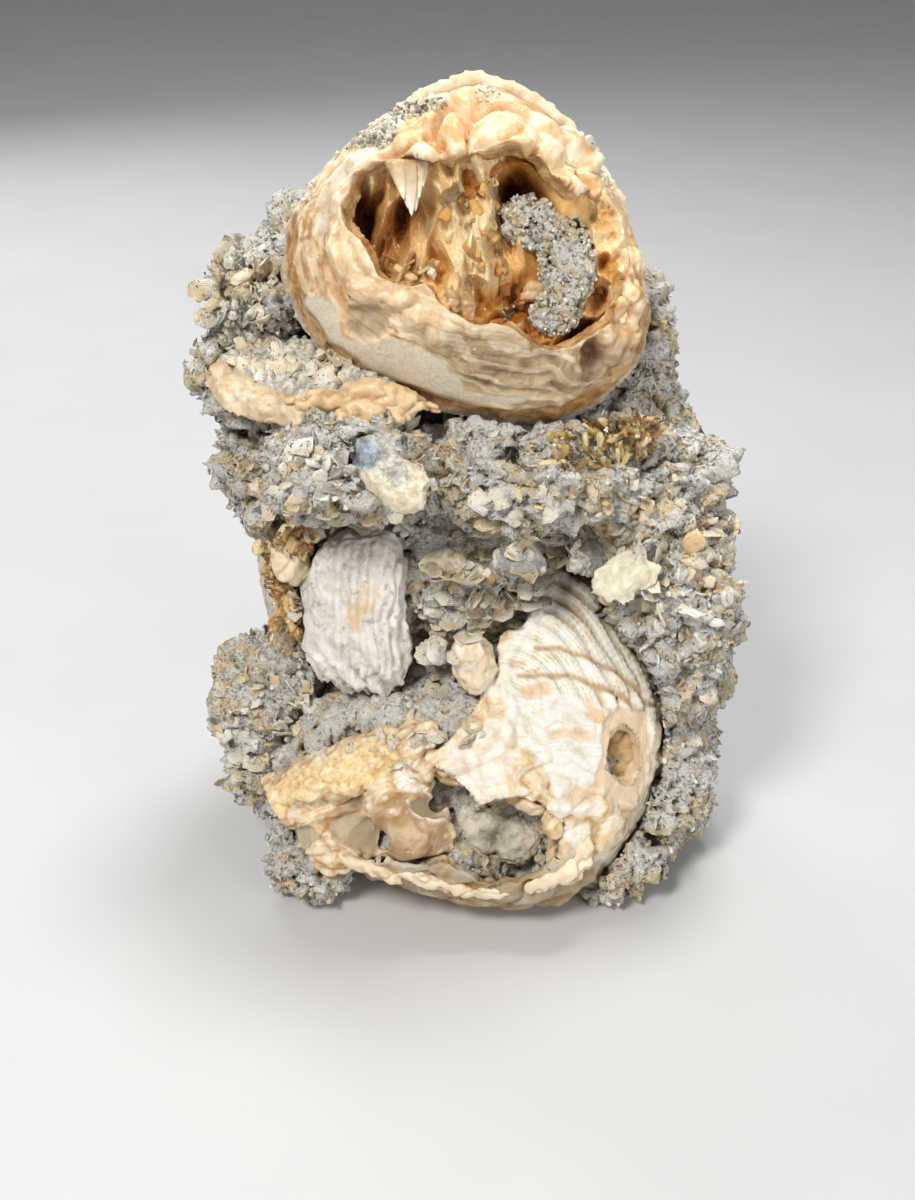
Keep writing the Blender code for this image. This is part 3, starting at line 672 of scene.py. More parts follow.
def flake_look():
    """Loose plates: dark to honey by their tone, with paler rims."""
    look = Look("loose shell flakes", 0.65, Specular_IOR_Level=0.4)
    tone, rim = look.attr("tone"), look.attr("rim")
    colour = look.ramp(
        tone, (0.0, (0.05, 0.048, 0.042)), (0.12, (0.20, 0.195, 0.175)), (0.24, (0.46, 0.43, 0.36)),
        (0.38, (0.72, 0.65, 0.51)), (0.56, (0.86, 0.80, 0.67)), (0.80, (0.90, 0.88, 0.82)), (0.92, (0.84, 0.70, 0.44)),
        (1.0, (0.80, 0.57, 0.31)),
    )
    colour = look.mix(look.times(look.step(rim, 0.6, 1.0), 0.35), colour, (0.88, 0.85, 0.76))
    dust = look.step(look.noise(1.2, 5, 0.8, 0.4, 3), 0.47, 0.58)
    colour = look.mix(look.times(dust, 0.5), colour, (0.72, 0.64, 0.49))
    yellow = look.step(look.noise(8, 3, 0.6, 0.8, 2), 0.46, 0.60)
    colour = look.mix(look.times(yellow, 0.7), colour, (0.96, 0.79, 0.52), "MULTIPLY")
    dark = look.step(look.noise(0.9, 3, 0.6, 0.3, 6), 0.60, 0.66)
    colour = look.mix(look.times(dark, 0.7), colour, DARK)
    look.bump(look.calc("SINE", look.times(rim, 34.0)), 0.12, 0.5)
    look.bump(look.noise(0.9, 5, 0.7, seed=4), 0.5, 0.9)
    return look.done(colour, look.level(look.noise(2, 2, seed=5), 0.5, 0.9))


def grit_look(name, stops, roughness=0.75):
    """Grains coloured by their tone."""
    look = Look(name, roughness, Specular_IOR_Level=0.5)
    colour = look.ramp(look.attr("tone"), *stops)
    colour = look.mix(look.times(look.noise(0.7, 3, seed=2), 0.3), colour, (0.40, 0.38, 0.33))
    look.bump(look.noise(0.6, 4, 0.7, seed=1), 0.3, 0.8)
    return look.done(colour)


GRIT_STOPS = (
    (0.0, (0.05, 0.045, 0.035)), (0.14, (0.20, 0.18, 0.145)), (0.34, (0.48, 0.43, 0.34)), (0.56, (0.68, 0.62, 0.50)),
    (0.80, (0.82, 0.77, 0.66)), (0.95, (0.90, 0.87, 0.80)),
)


# The plain shells: seed, roughness, light under the skin, strength of the growth lines, and three colours
SHELL_LOOKS = {
    "chalky shell": (21, 0.75, 0.0, 0.2, (0.60, 0.54, 0.46), (0.78, 0.74, 0.67), (0.88, 0.86, 0.81)),
    "slate-grey shell": (24, 0.5, 0.0, 0.2, (0.12, 0.12, 0.12), (0.24, 0.24, 0.235), (0.42, 0.40, 0.36)),
    "peach shell": (27, 0.4, 0.15, 0.3, (0.52, 0.35, 0.18), (0.70, 0.53, 0.33), (0.84, 0.73, 0.54)),
    "buff oyster shell": (29, 0.5, 0.05, 0.2, (0.52, 0.48, 0.37), (0.76, 0.69, 0.49), (0.87, 0.85, 0.76)),
    "tan shell": (33, 0.7, 0.0, 0.1, (0.50, 0.39, 0.24), (0.70, 0.59, 0.40), (0.84, 0.76, 0.60)),
    "cream shell": (31, 0.5, 0.12, 0.1, (0.70, 0.48, 0.25), (0.84, 0.70, 0.48), (0.90, 0.87, 0.80)),
    "cream back shell": (61, 0.4, 0.12, 0.7, (0.56, 0.34, 0.14), (0.76, 0.55, 0.30), (0.84, 0.70, 0.48)),
    "pale back shell": (66, 0.36, 0.2, 0.3, (0.70, 0.48, 0.26), (0.84, 0.67, 0.44), (0.90, 0.80, 0.62)),
}


def shell_look(name):
    """A plain valve: growth lines, mottling, rock crust in greys where its crust mask is, and the same greys as painted
    shade in its hollows by its shade mask.
    """
    seed, roughness, scatter, rings, low, middle, high = SHELL_LOOKS[name]
    look = Look(name, roughness, scatter, Specular_IOR_Level=0.5)
    growth = look.attr("growth")
    lines = look.noise(1.0, 2, 0.5, 0.0, seed)
    band = look.calc("SINE", look.calc("ADD", look.times(growth, 60.0 * rings), look.times(lines, 7.0)))
    tone = look.calc("MULTIPLY_ADD", band, 0.05 * rings, look.noise(3.5, 5, 0.65, 0.6, seed + 1))
    colour = look.ramp(tone, (0.32, low), (0.5, middle), (0.68, high))
    crust_and_painted_shade = look.ramp(
        look.noise(1.4, 5, 0.75, 0.5, seed + 5), (0.34, (0.16, 0.15, 0.13)), (0.47, (0.46, 0.43, 0.36)),
        (0.62, (0.78, 0.74, 0.66))
    )
    # Painted shade: the shade mask lays the crust's greys into the hollows; the crust mask lays them on the real rock
    # crust.
    colour = look.mix(look.calc("MAXIMUM", look.times(look.attr("recess_shade"), 0.6), look.attr("crust")), colour, crust_and_painted_shade)
    colour = look.over(colour, "stain", 0.8, (0.76, 0.55, 0.30))
    look.bump(look.calc("SINE", look.times(growth, 230.0)), 0.06 * rings, 0.4)
    look.bump(look.noise(1.0, 5, 0.7, seed=seed + 3), 0.4, 0.8)
    return look.done(colour, look.level(look.noise(2.2, 3, seed=seed + 4), roughness * 0.7, min(1, roughness * 1.5)))


# The waxy calcites: seed, roughness, light under the skin, bump in mm, and the stops of their colours
CALCITES = {
    "honey calcite": (
        3, 0.14, 0.3, 0.35, (0.1, (0.24, 0.08, 0.012)), (0.35, AMBER), (0.6, HONEY), (0.9, (0.84, 0.62, 0.32))
    ),
    "golden calcite": (
        8, 0.1, 0.3, 0.2, (0.1, (0.52, 0.25, 0.06)), (0.45, (0.72, 0.42, 0.15)), (0.8, (0.88, 0.68, 0.38))
    ),
    "amber blades": (
        9, 0.1, 0.3, 0.2, (0.1, (0.34, 0.15, 0.03)), (0.45, (0.58, 0.33, 0.12)), (0.8, (0.80, 0.57, 0.30))
    ),
    "pale waxy calcite": (
        14, 0.3, 0.2, 0.25, (0.2, (0.60, 0.40, 0.22)), (0.5, (0.76, 0.60, 0.40)), (0.8, (0.87, 0.78, 0.63))
    ),
    "tan waxy calcite": (
        15, 0.3, 0.2, 0.25, (0.2, (0.46, 0.27, 0.11)), (0.5, (0.64, 0.45, 0.25)), (0.8, (0.80, 0.65, 0.44))
    ),
    "waxy orange calcite": (
        51, 0.35, 0.25, 0.3, (0.15, (0.52, 0.33, 0.15)), (0.4, (0.72, 0.51, 0.29)), (0.7, (0.84, 0.69, 0.46))
    ),
    "waxy cream calcite": (
        54, 0.4, 0.2, 0.3, (0.15, (0.62, 0.46, 0.28)), (0.45, (0.80, 0.66, 0.46)), (0.8, (0.88, 0.81, 0.68))
    ),
    "silty calcite": (
        57, 0.8, 0.02, 1.0, (0.28, (0.15, 0.13, 0.10)), (0.42, (0.40, 0.36, 0.28)), (0.56, (0.62, 0.57, 0.46))
    ),
    "orange calcite window": (
        58, 0.4, 0.25, 0.35, (0.15, (0.46, 0.26, 0.10)), (0.45, (0.70, 0.46, 0.23)), (0.75, (0.84, 0.66, 0.42))
    ),
    "honey crust": (
        41, 0.25, 0.25, 0.35, (0.15, (0.40, 0.23, 0.07)), (0.45, (0.66, 0.44, 0.18)), (0.75, (0.84, 0.70, 0.44))
    ),
    "olive-yellow calcite": (
        47, 0.22, 0.25, 0.3, (0.15, (0.26, 0.17, 0.05)), (0.45, (0.50, 0.35, 0.13)), (0.8, (0.76, 0.62, 0.34))
    ),
}


def calcite_look(name):
    """Waxy calcite: a tone attribute chooses its colour and a shade attribute darkens it as painted shade in its
    creases, with a little light under the skin.
    """
    seed, roughness, scatter, bump, *stops = CALCITES[name]
    look = Look(name, roughness, scatter, (2.4, 1.2, 0.5), Specular_IOR_Level=0.55)
    mottle = look.calc("MULTIPLY_ADD", look.noise(3.0, 4, 0.6, 1.0, seed), 0.5, -0.1)
    colour = look.ramp(look.calc("MULTIPLY_ADD", look.attr("tone"), 0.7, mottle), *stops)
    # Painted shade: darker amber in creases and crevices.
    colour = look.over(colour, "recess_shade", 0.9, (0.46, 0.24, 0.09), "MULTIPLY")
    look.bump(look.noise(1.8, 4, 0.6, 0.4, seed + 1), bump, 0.6)
    look.bump(look.noise(0.5, 3, 0.6, seed=seed + 2), 0.08, 0.5)
    return look.done(colour, look.level(look.noise(1.4, 3, seed=seed + 3), roughness * 0.6, min(1, roughness * 2)))


def glass_look(name, tint, density, seed):
    """Clear calcite, coloured only by what it swallows of the light."""
    look = Look(name, 0.06, IOR=1.58, Transmission_Weight=1.0)
    look.shader.inputs["Base Color"].default_value = (1.0, 0.97, 0.92, 1.0)
    swallow = look.node("ShaderNodeVolumeAbsorption")
    swallow.inputs["Color"].default_value = (*tint, 1.0)
    swallow.inputs["Density"].default_value = density
    look.tree.links.new(swallow.outputs[0], look.tree.nodes["Material Output"].inputs["Volume"])
    look.bump(look.noise(1.2, 3, 0.6, seed=seed), 0.12, 0.6)
    return look.done(None, look.level(look.noise(1.5, 2, seed=seed + 1), 0.03, 0.22))


# The rock


BEHIND_SHELL = 1.4  # how far the rock is set behind a bare shell
PLATE_COUNT, BIT_COUNT, GRIT_COUNT = 340, 4000, 1700
# Shells that the photo shows free of rock: the solid's name and the outline of its bare part, as seen
BARE_SHELLS = (
    ("lower_clam_front_valve", (
        (556, 568), (566, 556), (586, 556), (603, 610), (627, 642), (648, 668), (661, 695), (669, 728), (669, 757),
        (662, 786), (645, 812), (630, 834), (600, 862), (560, 720), (520, 700), (500, 655), (530, 615),
    )),
    ("white_valve", (
        (300, 560), (310, 538), (345, 526), (400, 530), (416, 552), (416, 640), (404, 700), (380, 714), (320, 706),
        (300, 660),
    )),
)
# Where the photo's rock is paler and darker: middle and half-sizes of each patch, as seen. Laid into the colour, the
# patches paint in the light and shade that fall there as well as the rock's own paler and darker tone.
PALE_AND_LIT_ROCK = (
    ((690, 600), (60, 110)), ((700, 780), (40, 70)), ((430, 655), (60, 34)), ((470, 600), (60, 60)),
    ((250, 720), (60, 40)), ((560, 500), (90, 40)), ((520, 545), (110, 22))
)
DARK_AND_SHADED_ROCK = (
    ((255, 275), (50, 70)), ((420, 560), (30, 25)), ((660, 850), (60, 50)), ((240, 860), (60, 40)),
    ((230, 440), (30, 40))
)


def shade(places, normals, pale=0.36, dark=0.40):
    """How much paler or darker the photo's rock is at each place, and nothing at the back: painted light and shade
    along with the rock's own tone.
    """
    uv = seen(places)
    out = np.zeros(len(places))
    for share, blobs in ((pale, PALE_AND_LIT_ROCK), (-dark, DARK_AND_SHADED_ROCK)):
        for centre, radii in blobs:
            out += share * blob(uv, centre, radii, 0.8)
    return out * smoothstep(0.1, -0.3, normals[:, 1])


def uncover(points):
    """Moves the rock that the solid has before a bare shell back behind it, along the line of sight."""
    uv = seen(points)
    for name, line in BARE_SHELLS:
        tree = tree_of(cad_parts[name])
        for index in np.flatnonzero(distance_to(uv, line, True)[1]):
            way = points[index] - VIEW_FROM
            reach = np.linalg.norm(way)
            hit = tree.ray_cast(Vector(VIEW_FROM), Vector(way / reach))
            if hit[0] is not None and hit[3] + BEHIND_SHELL > reach:
                points[index] = VIEW_FROM + way / reach * (hit[3] + BEHIND_SHELL)
    return points


def make_rock():
    """The matrix, with knobs, crevices and pits, and moved back behind the bare shells."""
    rock = remeshed("rock", "matrix", 1.04, swell=0.75, smooth=1)
    points, normals = surface_of(rock)
    big, deep, _ = crags(warped(points, 9, 2.6, 11) * (0.9, 1, 1.4), 10.0, 21, 1.3, 2.6, 0.2)
    mid, deep_mid, own_mid = crags(warped(points, 4, 1.4, 31) * (0.8, 1, 1.6), 4.6, 31, 1.2, 2.0, 0.25)
    small, _, own_small = crags(warped(points, 2, 0.6, 36), 2.5, 36, 0.5, 0.9, 0.3)
    out = big + mid + small + 0.45 * fractal(points, 2.1, 2, 41)
    pits = cells(warped(points, 3, 0.8, 43), 3.4, 43)[0]
    out -= 1.5 * (1 - smoothstep(0.14, 0.4, pits)) * smoothstep(0.4, 0.5, own_mid)
    room = room_to(points, SHELLS, 5.0)
    out = np.minimum(out, np.where(room < 4.0, room - 0.6, 9.0))
    set_points(rock, uncover(kept_in(points + normals * out[:, None])))
    # Painted shade: the open share, from the openness and the crevices, darkens the rock's colour in hollows and
    # lightens it on tips.
    store(rock, "open", np.clip(openness(rock, 7.0, 8) - 0.25 * deep - 0.15 * deep_mid, 0, 1))
    # The tone takes the painted light and shade of the patches.
    patch = 0.5 * fractal(points, 14, 3, 46) + shade(points, normals, 0.50, 0.60)
    store(rock, "tone", 0.32 * own_mid + 0.28 * own_small + 0.50 * np.clip(0.5 + patch, 0, 1.4))
    return dress(rock, "rock", rock_look(), "matrix")


def open_spots(obj, count, rng, room=2.0):
    """Places on the rock that look out, clear of the shells, with their normals."""
    points, normals = surface_of(obj)
    found = []
    for index in rng.permutation(len(points)):
        if len(found) >= count:
            break
        place, normal = Vector(points[index]), Vector(normals[index])
        if place.z < 2.0 or normal.z < -0.75:
            continue
        if SHELLS.ray_cast(place + normal * 0.2, normal, 9.0)[0] is not None:
            continue
        if SHELLS.find_nearest(place, room)[0] is not None:
            continue
        found.append(index)
    return points[found], normals[found]


def axes_for(directions, rng):
    """For each direction, three axes whose third is it, spun at random."""
    third = directions / np.linalg.norm(directions, axis=1)[:, None]
    guess = rng.normal(size=third.shape)
    first = np.cross(guess, third)
    first /= np.linalg.norm(first, axis=1)[:, None]
    return np.stack([first, np.cross(third, first), third], 2)


def leaning(normals, lean, rng):
    """The normals, each leant by its angle in radians to a random side."""
    axes = axes_for(normals, rng)
    return axes[:, :, 2] * np.cos(lean)[:, None] + axes[:, :, 0] * np.sin(lean)[:, None]


def flakes(
    name, places, directions, sizes, tones, rng, dome=(0.05, 0.35), thick=(0.3, 0.6), segments=8, rings=(0.62, 1.0)
):
    """Many thin curved plates with ragged outlines, as one mesh."""
    count = len(places)
    angles = np.arange(segments) / segments * math.tau
    ragged = 1 + rng.uniform(-0.30, 0.22, (count, segments))
    ragged *= 1 + 0.2 * np.cos(2 * angles + rng.uniform(0, math.tau, (count, 1)))
    narrow = rng.uniform(0.45, 1.0, (count, 1))
    rise = rng.uniform(*dome, (count, 1)) * np.sign(rng.uniform(-0.4, 1, (count, 1)))
    depth = rng.uniform(*thick, (count, 1)) * np.minimum(1, sizes / 1.6)[:, None]
    local, rims = [], []
    for side in (0, 1):
        middle = np.stack([np.zeros(count), np.zeros(count), sizes * rise[:, 0] - side * depth[:, 0]], 1)
        local.append(middle[:, None])
        rims.append([0.0])
        for ring in rings:
            r = ring * ragged * sizes[:, None]
            thin = 0.5 if ring == 1.0 else 1.0
            z = sizes[:, None] * rise * (1 - ring**2) - side * depth * thin
            z = z + 0.08 * sizes[:, None] * np.sin(3 * angles + rng.uniform(0, 6, (count, 1))) * ring
            local.append(np.stack([r * np.cos(angles), r * np.sin(angles) * narrow, z], 2))
            rims.append([ring] * segments)
    local = np.concatenate(local, 1)
    verts = places[:, None] + np.einsum("nij,nvj->nvi", axes_for(directions, rng), local)
    side_size = 1 + len(rings) * segments
    faces = []
    for side in (0, 1):
        base = side * side_size
        for k in range(segments):
            n = (k + 1) % segments
            tri = [(base, base + 1 + k, base + 1 + n)]
            for ring in range(len(rings) - 1):
                a, b = base + 1 + ring * segments + k, base + 1 + ring * segments + n
                tri += [(a, a + segments, b + segments), (a, b + segments, b)]
            faces += tri if side == 0 else [t[::-1] for t in tri]
    rim = 1 + (len(rings) - 1) * segments
    for k in range(segments):
        n = (k + 1) % segments
        a, b, c, d = rim + k, rim + n, side_size + rim + k, side_size + rim + n
        faces += [(a, c, d), (a, d, b)]
    obj = copies(name, verts, faces, LOOSE_MARGIN)
    store(obj, "rim", np.tile(np.concatenate(rims), count))
    store(obj, "tone", np.repeat(tones, 2 * side_size))
    return obj


BALL = bmesh.new()
bmesh.ops.create_icosphere(BALL, subdivisions=1, radius=1.0)
BALL_VERTS = np.array([v.co[:] for v in BALL.verts])
BALL_FACES = np.array([[v.index for v in f.verts] for f in BALL.faces])
BALL.free()


def grains(name, places, sizes, rng, tones=None, squash=(0.6, 1.0)):
    """Many small lumps with corners, as one mesh."""
    count = len(places)
    local = BALL_VERTS[None] * rng.uniform(0.7, 1.25, (count, len(BALL_VERTS), 1)) * sizes[:, None, None]
    local = local * rng.uniform(*squash, (count, 1, 3))
    axes = axes_for(rng.normal(size=(count, 3)), rng)
    verts = places[:, None] + np.einsum("nij,nvj->nvi", axes, local)
    obj = copies(name, verts, BALL_FACES, LOOSE_MARGIN)
    store(obj, "tone", np.repeat(rng.uniform(0, 1, count) if tones is None else tones, len(BALL_VERTS)))
    return obj


# Larger plates: the region as seen, how many, half-sizes, the way they face, its spread, and their tones
STREWN = (
    (
        ((428, 572), (480, 548), (560, 560), (540, 600), (500, 640), (430, 640)), 70, (1.4, 3.8), (0, -0.5, 1), 0.4,
        (0.15, 0.8)
    ),
    (((168, 215), (215, 200), (262, 255), (262, 335), (178, 345)), 75, (1.2, 3.4), (-0.3, -0.8, 0.6), 0.7, (0.0, 0.85)),
    (((232, 342), (345, 350), (350, 384), (290, 380), (240, 368)), 85, (1.4, 4.0), (0, -0.7, 0.9), 0.45, (0.3, 0.9)),
    (((470, 500), (640, 480), (660, 560), (480, 550)), 60, (1.2, 3.4), (0, -0.8, 0.6), 0.6, (0.35, 1.0)),
    (((205, 690), (300, 680), (310, 780), (215, 790)), 60, (1.2, 3.0), (0, -0.7, 0.7), 0.6, (0.4, 0.9)),
    (((250, 450), (320, 440), (340, 510), (262, 515)), 40, (1.2, 3.0), (0, -0.8, 0.7), 0.6, (0.1, 0.8)),
    (((640, 560), (735, 500), (735, 640), (660, 650)), 50, (1.4, 3.6), (0.2, -0.7, 0.7), 0.6, (0.1, 0.9)),
    (((410, 600), (460, 625), (452, 700), (405, 730)), 40, (1.2, 3.0), (0, -0.6, 0.9), 0.5, (0.2, 0.9)),
    (((290, 560), (312, 545), (318, 700), (300, 715)), 35, (1.0, 2.6), (-0.3, -0.8, 0.5), 0.6, (0.3, 0.9)),
    (((305, 695), (400, 690), (410, 722), (300, 730)), 40, (1.2, 3.2), (0, -0.8, 0.6), 0.6, (0.3, 0.9)),
    (((310, 512), (400, 512), (404, 534), (312, 536)), 30, (1.0, 2.6), (0, -0.8, 0.6), 0.6, (0.2, 0.8)),
    (((300, 722), (480, 712), (480, 745), (300, 758)), 60, (1.0, 3.0), (0, -0.7, 0.8), 0.6, (0.3, 0.9)),
)


def strewn(rng, tree):
    """The plates of STREWN: their places, the ways they face, sizes and tones."""
    out = [[], [], [], []]
    for region, count, size, way, spread, tone in STREWN:
        for u, v in pixels_in(region, count, rng, bare=[line for _, line in BARE_SHELLS]):
            half = size[0] + (size[1] - size[0]) * rng.uniform() ** 1.6
            at = spot(u, v, rng.uniform(-0.1, 0.35) * half, tree)
            if at is not None:
                out[0].append(at)
                out[1].append(np.array(way) + rng.normal(scale=spread, size=3))
                out[2].append(half)
                out[3].append(rng.uniform(*tone))
    return [np.array(part) for part in out]


def shelf(points):
    """Rubble that stands higher between the white shell and the lower clam."""
    uv = seen(points)
    return 2.4 * area(
        uv, ((262, 690), (330, 690), (440, 700), (500, 690), (495, 735), (400, 742), (300, 768), (250, 790)), 8
    )


def buried(points, local):
    """The rock that covers the lower clam's back valve where it would show on the left."""
    uv = seen(points)
    crust = area(uv, ((225, 630), (330, 640), (330, 730), (270, 790), (225, 780)), 5, 4.0, points, 216)
    return crust * (0.8 + 0.8 * fractal(points, 2.4, 2, 217)), crust


def make_crust(rock):
    """Plates, bits and grit on the rock."""
    rng = np.random.default_rng(7)
    skin = tree_of(rock, *(obj for name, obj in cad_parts.items() if name != "matrix"))
    places, normals = open_spots(rock, PLATE_COUNT, rng)
    lean = rng.uniform(0.3, 1.4, len(places))
    sizes = 1.6 + 1.8 * rng.uniform(size=len(places)) ** 2
    sunk = rng.uniform(-0.55, 0.1, len(places)) * sizes
    extra = strewn(rng, skin)
    ways = leaning(normals, lean, rng)
    places = places + normals * sunk[:, None]
    # The plates' tones take the painted light and shade of the patches.
    tones = np.clip(rng.normal(0.54, 0.24, len(sizes)) + shade(places, normals), 0, 1)
    plates = [np.concatenate(pair) for pair in zip((places, ways, sizes, tones), extra)]
    loose = flakes("shell_flakes", *plates, rng)
    dress(loose, "rock", flake_look())
    places, normals = open_spots(rock, BIT_COUNT, rng, 1.0)
    sizes = 0.55 + 1.0 * rng.uniform(size=len(places)) ** 1.8
    lean = rng.uniform(0.1, 1.5, len(places))
    sunk = rng.uniform(-0.4, 0.35, len(places)) * sizes
    # The bits' tones take the painted light and shade of the patches.
    tones = np.clip(rng.normal(0.56, 0.28, len(places)) + shade(places, normals), 0, 1)
    bits = flakes(
        "shell_bits", places + normals * sunk[:, None], leaning(normals, lean, rng), sizes, tones, rng, (0.05, 0.3),
        (0.35, 0.9), 6, (1.0,)
    )
    dress(bits, "rock", bpy.data.materials["loose shell flakes"], smooth=False)
    places, normals = open_spots(rock, GRIT_COUNT, rng, 0.8)
    sizes = 0.3 + 0.7 * rng.uniform(size=len(places)) ** 2
    grit = grains("rock_grit", places + normals * (0.25 * sizes)[:, None], sizes, rng)
    dress(grit, "rock", grit_look("rock grit", GRIT_STOPS), smooth=False)


# The upper clam

# Mounds of the front: where each is seen, its half-sizes and turn, and its height in mm
UPPER_FOLDS = (
    ((505, 141), (34, 25), -6, 3.0), ((455, 138), (17, 29), 22, 2.5), ((424, 160), (17, 17), 0, 1.9),
    ((400, 142), (25, 14), 15, 1.4), ((370, 160), (28, 11), 25, 0.9), ((562, 192), (26, 16), -15, 2.0),
    ((530, 186), (9, 18), 0, 1.2), ((592, 214), (17, 26), -20, 1.5), ((548, 152), (20, 12), -35, 1.5),
    ((612, 350), (15, 20), 8, 1.3), ((629, 342), (9, 26), 8, 1.5), ((567, 372), (17, 20), 0, 1.6),
    ((350, 262), (11, 24), 6, 1.2), ((368, 290), (20, 10), -12, 1.1), ((398, 298), (16, 11), 0, 1.3),
    ((414, 318), (13, 14), 0, 0.9), ((434, 341), (13, 9), -20, 0.8), ((622, 262), (14, 20), 0, 1.3),
    ((632, 300), (13, 22), 6, 1.2), ((612, 300), (10, 16), 0, 0.9), ((604, 245), (12, 20), -10, 0.9),
)
# Raised and sunken lines: the line, its width in pixels and its height in mm
UPPER_RIDGES = (
    (
        ((432, 126), (441, 110), (455, 103), (475, 100), (500, 105), (522, 117), (548, 134), (572, 152), (590, 170)),
        11, 1.9
    ),
    (((458, 366), (480, 377), (505, 384), (540, 386), (556, 377), (561, 364), (556, 352)), 5, 0.6),
    (((490, 352), (505, 355), (520, 352)), 4, 0.4), (((442, 350), (456, 362), (470, 369)), 5, 0.6),
)
# The sunken lines also carry painted shadow: the orange mask colours them orange-brown.
UPPER_GROOVES = (
    (((436, 136), (445, 119), (460, 110), (482, 112), (502, 117), (520, 121)), 8, -2.8),
    (((424, 136), (436, 146), (446, 150)), 6, -1.6), (((472, 120), (466, 138), (467, 160)), 5, -1.8),
    (((480, 159), (505, 164), (532, 157)), 7, -1.8), (((540, 190), (546, 212), (566, 216)), 6, -1.4),
    (((326, 262), (336, 282), (342, 302), (342, 318)), 6, -0.7), (((408, 172), (428, 178), (446, 172)), 6, -1.2),
    (((575, 175), (590, 190), (600, 210)), 5, -1.0), (((385, 160), (404, 156), (416, 146)), 5, -0.9),
)
# Outlines of the upper clam's surfaces, as seen
PEARLY_SKIN = (
    (300, 300), (318, 296), (336, 304), (342, 337), (360, 343), (398, 338), (420, 348), (440, 358), (462, 376),
    (466, 391), (500, 395), (534, 395), (522, 403), (480, 403), (440, 399), (400, 385), (365, 366), (335, 348),
    (312, 330),
)
PEARLY_WINDOW = (
    (352, 164), (358, 169), (346, 188), (336, 206), (331, 234), (320, 238), (317, 214), (326, 190), (338, 172),
)
INNER_LAYERS = (
    (418, 334), (440, 356), (468, 380), (500, 391), (545, 394), (590, 390), (640, 370), (652, 330), (600, 372),
    (560, 343), (520, 343), (470, 333), (440, 325),
)
GREY_CRUST = (
    (318, 152), (330, 133), (350, 119), (372, 117), (388, 95), (404, 98), (420, 102), (440, 98), (448, 104),
    (430, 112), (410, 118), (400, 128), (386, 148), (360, 146), (338, 151),
)
EDGE_CRUST = ((640, 243), (650, 255), (658, 275), (661, 300), (656, 316), (648, 300), (646, 275))
# The white patch: pale crystals with painted glints in white.
WHITE_CRUST_AND_GLINTS = ((540, 138), (556, 137), (572, 150), (580, 162), (560, 167), (544, 160))
ORANGE_BAND = ((495, 97), (520, 105), (545, 118), (563, 134), (582, 156))
LIP = (
    (400, 168), (378, 172), (364, 185), (352, 208), (343, 238), (350, 264), (360, 284), (380, 292), (403, 297),
    (420, 309), (434, 322), (440, 334)
)
VALVE_SEAM = ((562, 132), (572, 143), (585, 156), (597, 170), (607, 190))


